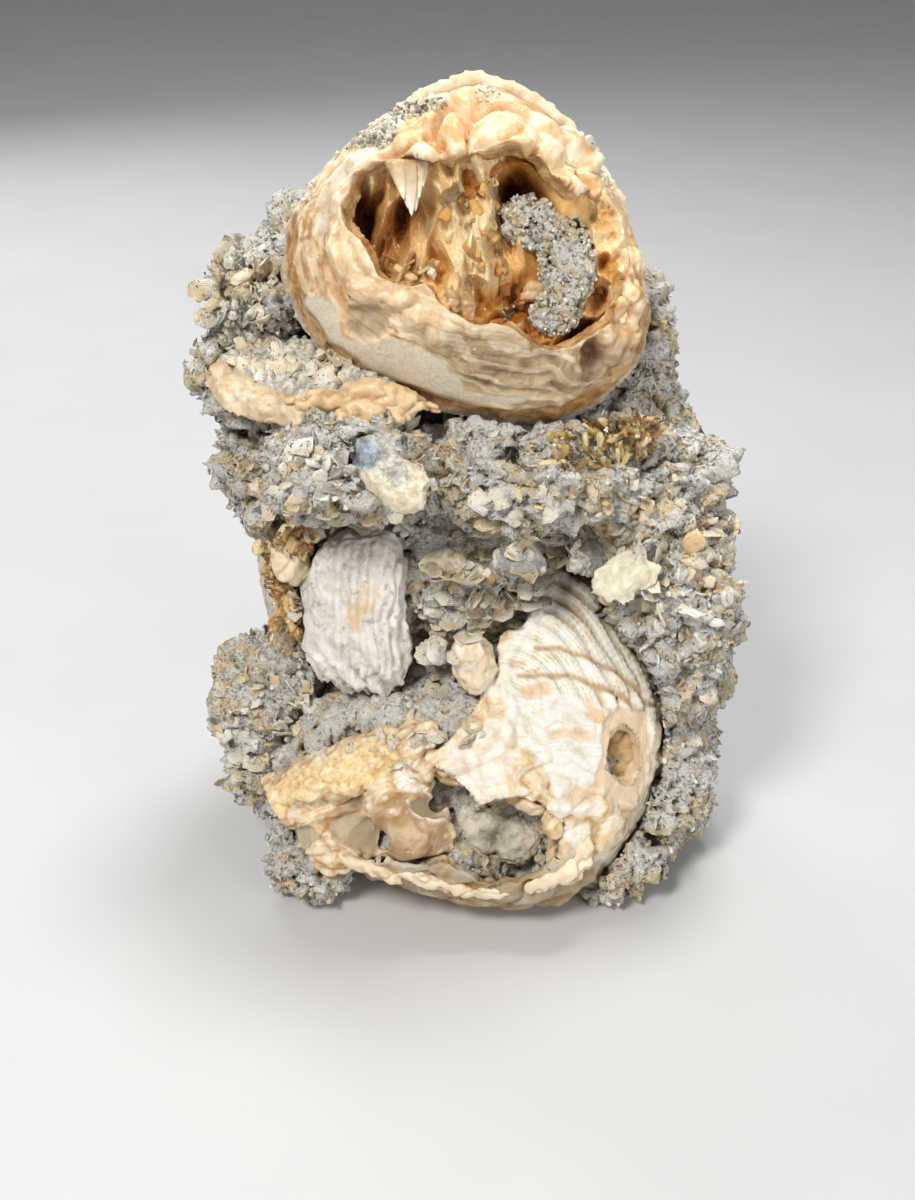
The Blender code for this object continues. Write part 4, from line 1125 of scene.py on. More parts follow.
def upper_front():
    """The upper clam's front valve: its folds, lip and crusts, and the masks that colour them."""
    obj = remeshed("upper_clam_front", "upper_clam_front_valve", CLAM_VOXEL, smooth=3)
    points = points_of(obj)
    face, local, growth, angle = UPPER.read(points)
    uv = seen(points)
    x, y = local[:, 0], local[:, 1]
    hole = distance_to(local[:, :2], HOLE, True)[0]

    skin = area(uv, PEARLY_SKIN, 3, 2.0, local, 51)
    window = area(uv, PEARLY_WINDOW, 3, 3.0, local, 52)
    inner = area(uv, INNER_LAYERS, 5, 4.0, local, 53) * (1 - skin)
    crust = np.maximum(area(uv, GREY_CRUST, 3, 5.0, local, 54), area(uv, EDGE_CRUST, 3, 3.0, local, 55))
    crust = np.maximum(crust, np.maximum(blob(uv, (303, 190), (10, 9)), blob(uv, (484, 91), (11, 8))))
    crust = np.maximum(crust, stroke(uv, VALVE_SEAM, 8))
    white = np.maximum(0.3 * area(uv, WHITE_CRUST_AND_GLINTS, 3, 3.0, local, 56), 0.5 * blob(uv, (423, 158), (12, 9)))
    blister = blob(uv, (366, 322), (21, 19), 0.16)
    # The pit is painted near-black amber: painted shade over its amber.
    pit = blob(uv, (593, 359), (10, 17), 0.6)

    steps = growth * 24 + 1.6 * fractal(local, 12, 2, 57)
    bands = sawtooth(steps, 0.7, 0.25)
    left = smoothstep(0.6, 0.78, growth) * smoothstep(0.2, -0.7, np.cos(angle))
    left = left * (1 - skin) * (1 - window) * (1 - inner)
    patchy = 0.3 + 0.7 * smoothstep(-0.3, 0.3, fractal(local, 7, 2, 68))
    relief = 0.32 * (bands - 0.5) * left * patchy
    strands = fractal(np.column_stack([growth * 60, angle * 3, 0 * x]), 2.0, 2, 58)
    relief += 0.20 * strands * (1 - skin) * left
    waves, crease = billow(local, 7.0, 69)
    relief += 0.8 * (waves - 0.4) * (1 - skin) * (1 - window) * (0.35 + 0.65 * (1 - left))
    folds, orange = np.zeros(len(points)), np.zeros(len(points))
    wavy = wobbled(uv, local, 3.2, 5, 2, 59, 49)
    for centre, radii, turn, high in UPPER_FOLDS:
        folds = np.maximum(folds, high * mound(wavy, centre, radii, turn))
    for line, width, high in UPPER_RIDGES:
        folds = np.maximum(folds, high * stroke(wavy, line, width, 0.9))
    for line, width, high in UPPER_GROOVES:
        groove = stroke(wavy, line, width, 0.9)
        folds = folds * (1 - groove) + high * groove
        # Painted shadow: the grooves are coloured orange.
        orange = np.maximum(orange, groove)
    relief += 1.2 * folds - 2.6 * pit * face
    top = blob(local[:, :2], (4, 18), (32, 13)) * (1 - crust)
    right = np.clip(blob(local[:, :2], (33, 0), (11, 24)), 0, 1)
    lump, deep, _ = crags(warped(local, 5, 1.4, 60) * (1.2, 0.8, 1), 4.4, 60, 0.6, 1.4)
    relief += right * 0.9 * lump
    layers = hole * 0.32 + 1.1 * fractal(local, 8, 2, 61)
    layer = sawtooth(layers, 0.35, 0.5)
    low = blob(local[:, :2], (14, -26), (28, 10)) * (1 - skin)
    relief += np.clip(low + inner, 0, 1) * 0.35 * (layer - 0.5) - 0.5 * inner - 1.2 * blister
    ring = np.exp(-((np.hypot(*(uv - (413, 317)).T) - 6) / 1.8) ** 2)
    relief += 0.35 * ring - 0.25 * window + 0.22 * fractal(local, 3.2, 2, 63) * (1 - 0.75 * skin)
    rocky = cells(warped(local, 2, 0.6, 64), 2.2, 64)
    relief += crust * (0.8 + 0.9 * (smoothstep(0, 0.35, rocky[1] - rocky[0]) - 0.5) + 0.8 * (rocky[2] - 0.5))
    relief += 0.25 * white * (cells(local, 1.6, 65)[2] - 0.2)
    gritty = smoothstep(0.955, 0.975, growth) * smoothstep(0.3, -0.3, np.sin(angle + 0.4))
    relief += 0.45 * gritty * fractal(local, 1.2, 2, 66)

    # The hole is a little wider than the solid's, ragged, and has a rolled lip on the left
    to_left = blob(uv, (356, 232), (40, 62), 0.5)
    lip_band = stroke(uv, LIP, 22, 0.8) * face
    torn = 0.8 * fractal(local, 2.4, 2, 74) * np.exp(-((hole / 2.5) ** 2))
    relief += lip_band * (1.0 + 0.9 * fractal(local, 3.0, 2, 73)) + torn
    out_x, out_y = x - 4.0, y + 1.0
    away = np.maximum(np.hypot(out_x, out_y), 1e-6)
    widen = (1.9 * to_left + 1.5 * fractal(local, 4.0, 3, 70)) * np.exp(-((hole / 4.0) ** 2))
    widen *= local[:, 2] > 0
    shift = np.column_stack([widen * out_x / away, widen * out_y / away, 0 * x]) @ UPPER.turn.T

    rounded = UPPER.rounded(local, growth, face)
    set_points(obj, rounded)
    normals = normals_of(obj)
    lift = np.column_stack([0.45 * x / 36, 0.45 * y / 36, np.full(len(x), 0.9)]) @ UPPER.turn.T
    near_hole = 1 - smoothstep(1.0, 5.0, hole)
    way = normals * (1 - near_hole)[:, None] + lift * near_hole[:, None]
    way /= np.linalg.norm(way, axis=1)[:, None]
    rough = (0.6 * fractal(local, 3.0, 2, 67) - 0.3) * (1 - face)
    moved = rounded + way * (face * relief)[:, None] + normals * rough[:, None] + shift
    set_points(obj, kept_in(moved, 1.0))
    waxy = np.clip(folds, 0, 1.2) / 1.2
    for name, values in (
        ("growth", growth), ("skin", skin), ("window", window), ("inner_layers", inner), ("crust", crust),
        ("white", white), ("blister", blister), ("waxy", np.clip(waxy + top + right, 0, 1)), ("lip", lip_band),
        # Painted shadow in the grooves, with the real orange band.
        ("orange", np.clip(0.7 * orange + 0.8 * stroke(uv, ORANGE_BAND, 10), 0, 1)), ("low", low), ("layer", layer),
        # Painted shade over the calcite's amber: amber in the crevices of the right edge's lumps.
        ("inside", 1 - face), ("gritty", gritty), ("pit", pit), ("amber", right * deep),
        # Painted shade: darker in the grooves between the left bands and in the creases of the folds.
        ("recess_shade", np.clip(0.5 * left * (1 - bands) * patchy + 0.6 * crease * (1 - skin), 0, 1)),
    ):
        store(obj, name, values)
    return dress(obj, "cream_shell", upper_look(), "upper_clam_front_valve")


def upper_look():
    """The upper clam's material, laid on in the order of the masks."""
    look = Look("upper clam", 0.36, 0.24, (2.4, 1.3, 0.6), Specular_IOR_Level=0.55)
    growth, layer = look.attr("growth"), look.attr("layer")
    swirl = look.noise(3.0, 4, 0.6, 0.8, 1)
    lines = look.calc("SINE", look.calc("MULTIPLY_ADD", growth, 170.0, look.times(swirl, 7.0)))
    strands = look.noise(1.0, 3, 0.6, 0.0, 12, (0.25, 0.25, 0.25))
    coarse = look.calc("SINE", look.calc("MULTIPLY_ADD", growth, 62.0, look.times(strands, 5.0)))
    tone = look.calc("MULTIPLY_ADD", coarse, 0.05, look.calc("MULTIPLY_ADD", lines, 0.06, swirl))
    base = look.ramp(
        tone, (0.30, (0.46, 0.27, 0.12)), (0.40, (0.64, 0.43, 0.23)), (0.50, (0.80, 0.61, 0.38)),
        (0.62, (0.88, 0.76, 0.56))
    )
    wax = look.ramp(
        look.noise(5, 4, 0.6, 1.0, 2), (0.32, (0.68, 0.38, 0.14)), (0.43, (0.78, 0.53, 0.28)),
        (0.54, (0.86, 0.68, 0.43)), (0.68, (0.90, 0.80, 0.62)),
    )
    colour = look.mix(look.attr("waxy"), base, wax)
    fine = look.noise(0.8, 4, 0.7, 0.3, 3)
    pearl = look.ramp(fine, (0.35, (0.56, 0.49, 0.36)), (0.5, (0.64, 0.57, 0.44)), (0.66, (0.72, 0.66, 0.53)))
    skin = look.calc("MAXIMUM", look.attr("skin"), look.times(look.attr("window"), 0.7))
    colour = look.mix(skin, colour, pearl)
    clear = look.ramp(
        look.noise(4, 4, 0.6, 1.2, 4), (0.33, (0.19, 0.12, 0.055)), (0.46, (0.30, 0.205, 0.105)),
        (0.6, (0.46, 0.35, 0.20))
    )
    see_in = look.calc("MAXIMUM", look.attr("low"), look.attr("inner_layers"))
    colour = look.mix(look.times(see_in, 0.92), colour, clear)
    paler = look.times(look.calc("SUBTRACT", look.attr("low"), look.attr("inner_layers")), 0.6)
    colour = look.mix(look.calc("MAXIMUM", paler, 0.0), colour, (0.66, 0.50, 0.30))
    colour = look.over(colour, "blister", 0.8, (0.46, 0.36, 0.22))
    colour = look.mix(look.times(look.times(look.step(layer, 0.8, 0.95), see_in), 0.45), colour, (0.76, 0.66, 0.50))
    lip = look.ramp(
        look.noise(4, 3, 0.6, 0.8, 11), (0.36, (0.58, 0.37, 0.18)), (0.5, (0.72, 0.52, 0.31)),
        (0.64, (0.86, 0.74, 0.55))
    )
    colour = look.over(colour, "lip", 0.8, lip)
    # Painted shadow in the fold grooves, along with the shell's orange band.
    colour = look.over(colour, "orange", 0.9, (0.62, 0.30, 0.09))
    # Painted shade over the calcite's amber: amber in the crevices of the right lumps.
    colour = look.over(colour, "amber", 0.8, (0.50, 0.26, 0.08))
    # Painted shade: darker in the grooves of the left bands and the creases of the folds.
    colour = look.over(colour, "recess_shade", 0.7, (0.62, 0.42, 0.25), "MULTIPLY")
    inside = look.ramp(swirl, (0.36, (0.30, 0.13, 0.03)), (0.5, (0.48, 0.26, 0.09)), (0.64, (0.70, 0.46, 0.22)))
    colour = look.over(colour, "inside", 0.9, inside)
    # Painted highlight in part: white on the sparkling crystals right of the fold, over their own pale colour, and
    # white dust at the tooth's root.
    chalk = look.times(look.attr("white"), look.step(look.noise(1.2, 4, 0.7, seed=8), 0.38, 0.5))
    colour = look.mix(look.times(chalk, 0.6), colour, (0.90, 0.86, 0.78))
    # Painted shade: the pit turns near-black amber.
    colour = look.mix(look.attr("pit"), colour, (0.16, 0.06, 0.012))
    sandy_part = look.ramp(look.noise(1.0, 4, 0.75, seed=9), (0.36, TAN), (0.5, (0.62, 0.54, 0.42)), (0.64, CHALK))
    colour = look.over(colour, "gritty", 0.8, sandy_part)
    rock = rock_colour(look, fine, look.noise(1.4, 4, 0.7, seed=10), 20)
    rock = look.mix(0.8, rock, (0.80, 0.77, 0.70), "MULTIPLY")
    colour = look.mix(look.step(look.attr("crust"), 0.35, 0.65), colour, rock)
    plain = look.calc("SUBTRACT", 1.0, look.calc("MAXIMUM", skin, look.attr("waxy")))
    look.bump(look.times(look.calc("SINE", look.times(growth, 300.0)), plain), 0.07, 0.4)
    look.bump(look.noise(1.6, 5, 0.65, 0.4, 6), 0.35, 0.6)
    return look.done(colour, look.level(look.noise(2.0, 3, seed=7), 0.2, 0.5))


def ridged(name, source, dome, slot, look, voxel=0.8, ridges=14, depth=0.5, seed=0, fine=0.2, ragged=0.6, more=None):
    """A plain valve with uneven growth ridges, a ragged margin and, from more, its own relief and crust."""
    obj = remeshed(name, source, voxel, smooth=2)
    points = points_of(obj)
    face, local, growth, _ = dome.read(points, 1.4)
    rounded = dome.rounded(local, growth, face)
    set_points(obj, rounded)
    steps = growth * ridges + 0.9 * fractal(local, 7, 3, seed)
    band = sawtooth(steps, 0.6, 0.3)
    fade = smoothstep(0.15, 0.4, growth) * (0.35 + 0.65 * smoothstep(-0.2, 0.3, fractal(local, 8, 2, seed + 2)))
    waves, crease = billow(local, 4.0, seed + 4)
    relief = face * depth * (band - 0.6) * fade + fine * (fractal(local, 2.0, 3, seed + 1) + 1.4 * (waves - 0.5))
    extra, crust = more(points, local) if more else (0.0, np.zeros(len(points)))
    normals = normals_of(obj)
    size = dome.outline.mean()
    edge = smoothstep(0.35, 1.0, growth) * fractal(local, 0.55 * size, 3, seed + 3)
    edge = edge - 0.25 * smoothstep(0.7, 1.0, growth)
    inward = np.column_stack([local[:, 0], local[:, 1], 0 * growth])
    inward /= np.maximum(np.linalg.norm(inward, axis=1), 1e-6)[:, None]
    moved = rounded + normals * (relief + extra)[:, None] + (inward * (ragged * edge)[:, None]) @ dome.turn.T
    set_points(obj, kept_in(moved, 1.0))
    store(obj, "growth", growth)
    store(obj, "crust", crust)
    # Painted shade: darker in the grooves between the growth ridges and in creases.
    store(obj, "recess_shade", np.clip(face * fade * (1 - band) * 0.4 * min(1, 3 * depth) + fine * crease, 0, 1))
    return dress(obj, slot, look, source)


# The middle of the upper hollow, as seen, and the pixels to a mm there
HOLLOW_MIDDLE, HOLLOW_SCALE = (475, 265), 4.85
SHEET_STEP = 1.7  # pixels between the points of the crystal sheet
HOLLOW_EDGE = (
    (338, 215), (345, 185), (368, 163), (400, 152), (440, 142), (500, 133), (560, 148), (602, 172), (628, 215),
    (638, 270), (632, 335), (612, 362), (586, 378), (540, 374), (480, 362), (440, 342), (410, 318), (370, 302),
    (347, 270),
)
# Where the calcite's face is seen, and how far it stands before the middle of the clam
HOLLOW_DEPTHS = (
    (345, 200, 6), (350, 232, 0), (356, 262, 4), (380, 175, 15), (385, 215, 9), (392, 250, 11), (400, 278, 14.5),
    (420, 170, 16), (430, 215, 10.5), (428, 262, 12), (452, 180, 17), (470, 215, 17), (476, 255, 16.5), (482, 292, 12),
    (500, 162, 17), (519, 182, 5), (522, 207, 6), (510, 240, 13), (540, 165, 16), (560, 178, 16), (578, 194, 15),
    (600, 222, 13),
    (540, 250, 10), (470, 335, 14.5), (455, 310, 14), (505, 318, 7), (540, 300, 9), (540, 345, 12.5), (604, 270, 13),
    (614, 310, 13), (596, 352, -1), (612, 380, 9), (570, 365, 11), (490, 362, 14), (420, 305, 15), (370, 290, 13),
)
# Parts with their own fracture faces: middle, half-sizes, width, length, lean in degrees and height
HOLLOW_FACETS = (
    ((392, 225), (42, 60), 2.5, 7.5, 14, 4.2), ((440, 220), (20, 60), 2.2, 6.2, -16, 3.8),
    ((478, 230), (38, 75), 2.3, 6.5, -12, 4.8), ((505, 322), (60, 34), 2.4, 4.2, 24, 3.2),
    ((610, 290), (34, 90), 2.6, 3.2, 8, 3.0),
)


def facets(places, wide, long, lean, seed):
    """Hollow fracture faces that meet in sharp ridges: their height, and each face's own number."""
    turn = math.radians(lean)
    x = places[:, 0] * math.cos(turn) - places[:, 1] * math.sin(turn)
    y = places[:, 0] * math.sin(turn) + places[:, 1] * math.cos(turn)
    flat = np.column_stack([x / wide, y / long])
    rng = np.random.default_rng(seed)
    low, high = flat.min(0), flat.max(0)
    count = int(1.3 * np.prod(high - low)) + 4
    middles = rng.uniform(low, high, (count, 2))
    tilt = rng.uniform(-2.1, 2.1, (count, 2))
    gap = flat[:, None] - middles[None]
    rise = rng.uniform(-0.3, 0.9, count) + (gap * tilt).sum(2) + 1.0 * (gap**2).sum(2)
    best = rise.argmin(1)
    return rise[np.arange(len(flat)), best] + 0.5, rng.uniform(size=count)[best]


def grid_faces(tall, wide, inside):
    """The triangles of a grid's cells that lie inside, closed by a fan to one more point, the last."""
    count = tall * wide
    index = np.arange(count).reshape(tall, wide)
    a, b, c, d = (index[:-1, :-1], index[:-1, 1:], index[1:, :-1], index[1:, 1:])
    whole = inside[a] & inside[b] & inside[c] & inside[d]
    a, b, c, d = (part[whole] for part in (a, b, c, d))
    triangles = np.concatenate([np.column_stack([a, c, d]), np.column_stack([a, d, b])])
    edges = np.concatenate([triangles[:, [0, 1]], triangles[:, [1, 2]], triangles[:, [2, 0]]])
    codes, back_codes = edges[:, 0] * count + edges[:, 1], edges[:, 1] * count + edges[:, 0]
    rim = edges[~np.isin(codes, back_codes)]
    return np.concatenate([triangles, np.column_stack([rim[:, 1], rim[:, 0], np.full(len(rim), count)])])


def broken_look():
    """The material of the calcite's broken face, from amber in its depth to cream at its edge: as its tone follows
    depth, the deep amber is painted shade in the recesses and the cream painted highlight on the forward tips.
    """
    look = Look("broken honey calcite", 0.12, 0.18, (2.4, 1.0, 0.3), Specular_IOR_Level=0.65)
    tone = look.calc(
        "MULTIPLY_ADD", look.noise(2.2, 4, 0.65, 1.0, 1), 0.5, look.calc("SUBTRACT", look.attr("tone"), 0.25)
    )
    colour = look.ramp(
        tone, (0.0, (0.10, 0.03, 0.004)), (0.14, (0.28, 0.10, 0.018)), (0.30, (0.50, 0.21, 0.045)),
        (0.46, (0.67, 0.35, 0.10)), (0.64, (0.80, 0.51, 0.20)), (0.88, (0.90, 0.72, 0.44)),
    )
    sheets = look.ramp(
        tone, (0.08, (0.18, 0.06, 0.012)), (0.26, (0.36, 0.155, 0.04)), (0.44, (0.54, 0.29, 0.11)),
        (0.64, (0.74, 0.51, 0.27))
    )
    colour = look.over(colour, "left", 0.8, sheets)
    wax = look.ramp(
        look.noise(3.5, 4, 0.6, 0.8, 2), (0.35, (0.58, 0.34, 0.15)), (0.5, (0.76, 0.54, 0.31)),
        (0.66, (0.86, 0.74, 0.55))
    )
    colour = look.over(colour, "soft", 0.55, wax)
    look.bump(look.noise(1.1, 4, 0.7, 0.6, 3), 0.2, 0.5)
    return look.done(colour, look.level(look.noise(1.6, 3, seed=4), 0.06, 0.3))


def crystal_sheet():
    """The broken face of the calcite in the upper hollow, as one closed sheet with its back in the clam."""
    corners = np.array(HOLLOW_EDGE, float)
    low, high = corners.min(0), corners.max(0)
    wide, tall = ((high - low) / SHEET_STEP).astype(int) + 2
    across, down = np.meshgrid(low[0] + SHEET_STEP * np.arange(wide), low[1] + SHEET_STEP * np.arange(tall))
    uv = np.column_stack([across.ravel(), down.ravel()])
    edge, inside = distance_to(uv, HOLLOW_EDGE, True)
    flat = np.column_stack([*((uv - HOLLOW_MIDDLE) / (HOLLOW_SCALE, -HOLLOW_SCALE)).T, np.zeros(len(uv))])
    knots = np.array(HOLLOW_DEPTHS, float)
    reach = np.exp(-(((uv[:, None] - knots[None, :, :2]) ** 2).sum(2)) / (2 * 15.0**2)) + 1e-9
    depth = (reach * knots[:, 2]).sum(1) / reach.sum(1)
    bent = flat + 0.8 * np.stack([fractal(flat, 6, 2, 301), fractal(flat, 6, 2, 302), 0 * edge], 1)
    rise, own, weight = np.zeros(len(uv)), np.zeros(len(uv)), np.full(len(uv), 1e-6)
    for seed, (centre, radii, wide_mm, long_mm, lean, relief) in enumerate(HOLLOW_FACETS):
        part = blob(uv, centre, radii, 0.5)
        blade, number = facets(bent, wide_mm, long_mm, lean, 310 + seed)
        fine, _ = facets(bent, wide_mm * 0.45, long_mm * 0.5, lean, 330 + seed)
        rise += part * relief * (blade + 0.40 * fine + 0.15 * (number - 0.5))
        own += part * number
        weight += part
    rise, own = rise / np.maximum(weight, 0.6), own / np.maximum(weight, 0.6)
    calm = smoothstep(-1, 4, depth)
    depth = depth + rise * (0.25 + 0.75 * calm) * smoothstep(0, 22, edge)
    lobes = billow(flat, 5.0, 340)[0]
    soft = 1 - smoothstep(6, 22, edge)
    depth = depth + 1.6 * soft * lobes - 6.0 * (1 - smoothstep(0, 8, edge))
    rays = AHEAD * PIXELS + RIGHT * (uv[:, :1] - VIEW_MIDDLE[0]) - UP * (uv[:, 1:] - VIEW_MIDDLE[1])
    out_way = UPPER.turn[:, 2]
    far = (depth - (VIEW_FROM - UPPER.middle) @ out_way) / (rays @ out_way)
    verts = VIEW_FROM + rays * far[:, None]
    behind_all = UPPER.world(np.array([[2.0, 2.0, -8.0]]))
    triangles = grid_faces(tall, wide, inside)
    obj, used = trimmed("crystal_sheet", np.concatenate([verts, behind_all]), triangles)
    # Painted shade and highlight: the tone rises with how far the face stands forward, so recesses turn deep amber and
    # forward tips cream; the blobs make some places paler and darker as seen.
    tone_with_painted_shade = np.interp(depth, (-2, 3, 8, 12, 16), (0.02, 0.2, 0.46, 0.64, 0.8)) + 0.38 * (own - 0.5)
    tone_with_painted_shade += 0.16 * blob(uv, (482, 230), (34, 66)) + 0.10 * soft - 0.25 * blob(uv, (518, 190), (13, 24))
    tone_with_painted_shade -= 0.22 * blob(uv, (505, 325), (60, 36)) + 0.06 * blob(uv, (392, 235), (36, 56))
    for name, values in (("tone", np.clip(tone_with_painted_shade, 0, 1)), ("soft", soft), ("left", blob(uv, (398, 230), (44, 56)))):
        store(obj, name, np.append(values, 0)[used])
    return dress(obj, "honey_calcite", broken_look(), smooth=False)


def crystals(name, places, directions, lengths, radii, rng, sides=5, tones=None):
    """Many closed blocky prisms with slanting ends, as one mesh."""
    count = len(places)
    angles = np.arange(sides) / sides * math.tau
    local = []
    flat = rng.uniform(0.35, 0.9, (count, 1))
    uneven = rng.uniform(0.75, 1.2, (count, sides))
    slant = rng.uniform(-0.5, 0.5, (count, 2))
    for height, width in ((-0.35, 0.8), (0.62, 1.0), (0.84, 0.86)):
        r = radii[:, None] * width * uneven
        x, y = r * np.cos(angles), r * np.sin(angles) * flat
        z = height * lengths[:, None] + (slant[:, :1] * x + slant[:, 1:] * y) * (height > 0)
        local.append(np.stack([x, y, z], 2))
    lean = rng.uniform(-0.45, 0.45, (count, 2)) * radii[:, None] * np.column_stack([np.ones(count), flat[:, 0]])
    tip = np.column_stack([lean, lengths])[:, None]
    foot = np.column_stack([0 * lean, -0.4 * lengths])[:, None]
    rings = len(local)
    local = np.concatenate([*local, tip, foot], 1)
    verts = places[:, None] + np.einsum("nij,nvj->nvi", axes_for(directions, rng), local)
    top, bottom = rings * sides, rings * sides + 1
    faces = []
    for k in range(sides):
        n = (k + 1) % sides
        for ring in range(rings - 1):
            a, b = ring * sides + k, ring * sides + n
            faces += [(a, b, b + sides), (a, b + sides, a + sides)]
        last = (rings - 1) * sides
        faces += [(last + k, last + n, top), (n, k, bottom)]
    size = bottom + 1
    obj = copies(name, verts, faces, 1.4)
    store(obj, "tone", np.repeat(rng.uniform(0, 1, count) if tones is None else tones, size))
    store(obj, "recess_shade", np.zeros(count * size))
    return obj


def petals(name, rows, rng, sides=8, stations=9, taper=0.0):
    """Tapering curved blades from a root to a tip. Each row: root and tip as seen, width, thickness, bow and
    how far the root and the tip are brought towards the camera."""
    verts, faces, shares = [], [], []
    for root, tip, width, thickness, bow, lift, tip_lift in rows:
        start, end = spot(*root, lift), spot(*root, 0)
        depth = (end - VIEW_FROM) @ AHEAD
        ray = sight(*tip)
        end = VIEW_FROM + ray * (depth - tip_lift) / (ray @ AHEAD)
        along = end - start
        side = np.cross(along, AHEAD)
        side /= np.linalg.norm(side)
        out = np.cross(side, along)
        out /= np.linalg.norm(out)
        base = len(verts)
        wave = rng.uniform(0.62, 1.25, (1, sides)) * rng.uniform(0.92, 1.08, (stations, sides))
        for k in range(stations):
            t = k / (stations - 1)
            full = (1 - taper * t) * math.sin(math.pi * (0.25 + 0.75 * t)) ** 0.6 if t < 1 else 0.0
            arch = math.sin(math.pi * t)
            middle = start + along * t + side * bow * arch + out * 0.12 * width * arch
            for j in range(sides):
                a = j / sides * math.tau
                r = full * wave[k, j]
                across, through = 0.5 * width * r * math.cos(a), 0.5 * thickness * r * math.sin(a)
                verts.append(middle + side * across + out * through)
                shares.append(t)
        for k in range(stations - 2):
            for j in range(sides):
                n = (j + 1) % sides
                a, b = base + k * sides + j, base + k * sides + n
                faces += [(a, b + sides, b), (a, a + sides, b + sides)]
        last = base + (stations - 2) * sides
        verts.append(end)
        verts.append(start)
        shares += [1.0, 0.0]
        tip_at, root_at = len(verts) - 2, len(verts) - 1
        for j in range(sides):
            n = (j + 1) % sides
            faces += [(last + j, tip_at, last + n), (base + n, root_at, base + j)]
    obj, used = trimmed(name, np.array(verts), np.array(faces))
    store(obj, "tone", np.array(shares)[used])
    store(obj, "recess_shade", np.zeros(len(used)))
    return obj


def upper_lining():
    """The lining of the upper clam's hollow."""
    obj = remeshed("upper_clam_lining", "upper_clam_crystals", 1.1, smooth=1)
    points, normals = surface_of(obj)
    local = UPPER.local(points)
    lump, deep, own = crags(warped(points, 6, 1.6, 71) * (1.0, 1.0, 0.6), 4.2, 72, 0.8, 1.6)
    depth = smoothstep(15, 3, local[:, 2])
    set_points(obj, points + normals * (lump * (1 - 0.6 * depth) - 1.2)[:, None])
    # Painted shade: darker the deeper the lining lies in the hollow, and in its crevices.
    store(obj, "recess_shade", np.clip(0.5 * depth + 0.4 * deep, 0, 1))
    store(obj, "tone", np.clip(0.30 + 0.4 * (own - 0.5), 0, 1))
    look = calcite_look("honey calcite")
    dress(obj, "honey_calcite", look, "upper_clam_crystals", smooth=False)


def upper_crystals():
    """The broken calcite in the upper hollow, and the crystals and waxy lumps on it."""
    rng = np.random.default_rng(12)
    walls = tree_of(crystal_sheet())
    out_way, down = UPPER.turn[:, 2], np.array((0.0, -0.25, -1.0))

    def grown(name, region, count, length, width, pull, look, spread=0.35, lift=0.0):
        """Crystals at chance places inside a region of the view, pulled towards a direction."""
        rows = [spot(u, v, lift, walls) for u, v in pixels_in(region, count, rng, 3)]
        places = np.array([row for row in rows if row is not None])
        way = np.array(pull) + rng.normal(scale=spread, size=places.shape)
        lengths = rng.uniform(*length, len(places))
        radii = lengths * rng.uniform(*width, len(places))
        dress(crystals(name, places, way, lengths, radii, rng), "honey_calcite", look, smooth=False)

    glass = glass_look("clear honey calcite", (0.98, 0.80, 0.54), 50, 5)
    gold = calcite_look("golden calcite")
    flame = calcite_look("amber blades")
    curtain = ((446, 175), (498, 168), (508, 210), (498, 250), (503, 288), (470, 288), (450, 255), (440, 215))
    left = ((384, 256), (430, 260), (428, 282), (384, 284))
    grown("curtain_glass", curtain, 8, (1.6, 3.4), (0.4, 0.55), out_way * 0.8 + down * 0.6, glass, 0.4, 0.0)
    grown("curtain_crystals", curtain, 34, (1.2, 2.8), (0.35, 0.55), out_way * 0.8 + down * 0.7, gold, 0.5, -0.2)
    grown("left_blades", left, 22, (1.8, 4.0), (0.2, 0.32), np.array((0.9, -0.3, 0.35)), flame, 0.35, -0.4)
    # The pale tooth: seven blades side by side, longest in the middle
    tooth_rows = tuple(
        ((391 + 5.4 * k, 161), (400 + 3.9 * k, tip), 3.6, 2.6, 0.1 * (3 - k), 1.0 + 0.3 * (k % 2), 0.8 + 0.4 * (k % 2))
        for k, tip in enumerate((188, 200, 209, 217, 212, 199, 187))
    )
    waxy = calcite_look("pale waxy calcite")
    amber = calcite_look("tan waxy calcite")
    dress(petals("pale_tooth", tooth_rows, rng, 12, 14, 0.6), "honey_calcite", waxy)
    lobes = lumps("pale_lobes", (
        ((465, 305), (2.2, 5.0, 1.4), 14, 0.0), ((451, 298), (1.6, 3.6, 1.2), 24, -0.1),
        ((459, 324), (2.6, 1.5, 1.1), -14, -0.1),
        ((533, 292), (3.0, 2.0, 1.4), 20, 0.2),
    ), 0.4, walls)
    lobe_points, lobe_normals = surface_of(lobes)
    wave, crease = billow(lobe_points, 3.0, 75)
    set_points(lobes, lobe_points + lobe_normals * (0.5 * wave - 0.5 + 1.2 * fractal(lobe_points, 2.6, 3, 78))[:, None])
    store(lobes, "tone", 0.3 + 0.3 * fractal(lobe_points, 3, 2, 76))
    # Painted shade: darker in the lobes' creases.
    store(lobes, "recess_shade", 0.5 * crease)
    dress(lobes, "honey_calcite", amber)
    at = spot(432, 275, 1.4, walls)
    way, length, radius, tone = (np.array([value]) for value in ((-0.25, -0.6, 0.8), 1.6, 1.5, 1.0))
    chip = crystals("white_cube", at[None], way, length, radius, rng, 4, tone)
    dress(chip, "honey_calcite", waxy, smooth=False)
    tuft = np.array([spot(510 + rng.normal(0, 5), 318 + rng.normal(0, 5), 0.3, walls) for _ in range(60)])
    tones = rng.uniform(0, 0.7, 60)
    tuft = grains("grey_tuft", tuft, rng.uniform(0.25, 0.55, 60), rng, tones)
    dress(tuft, "sediment", grit_look("tuft grains", GRIT_STOPS), smooth=False)


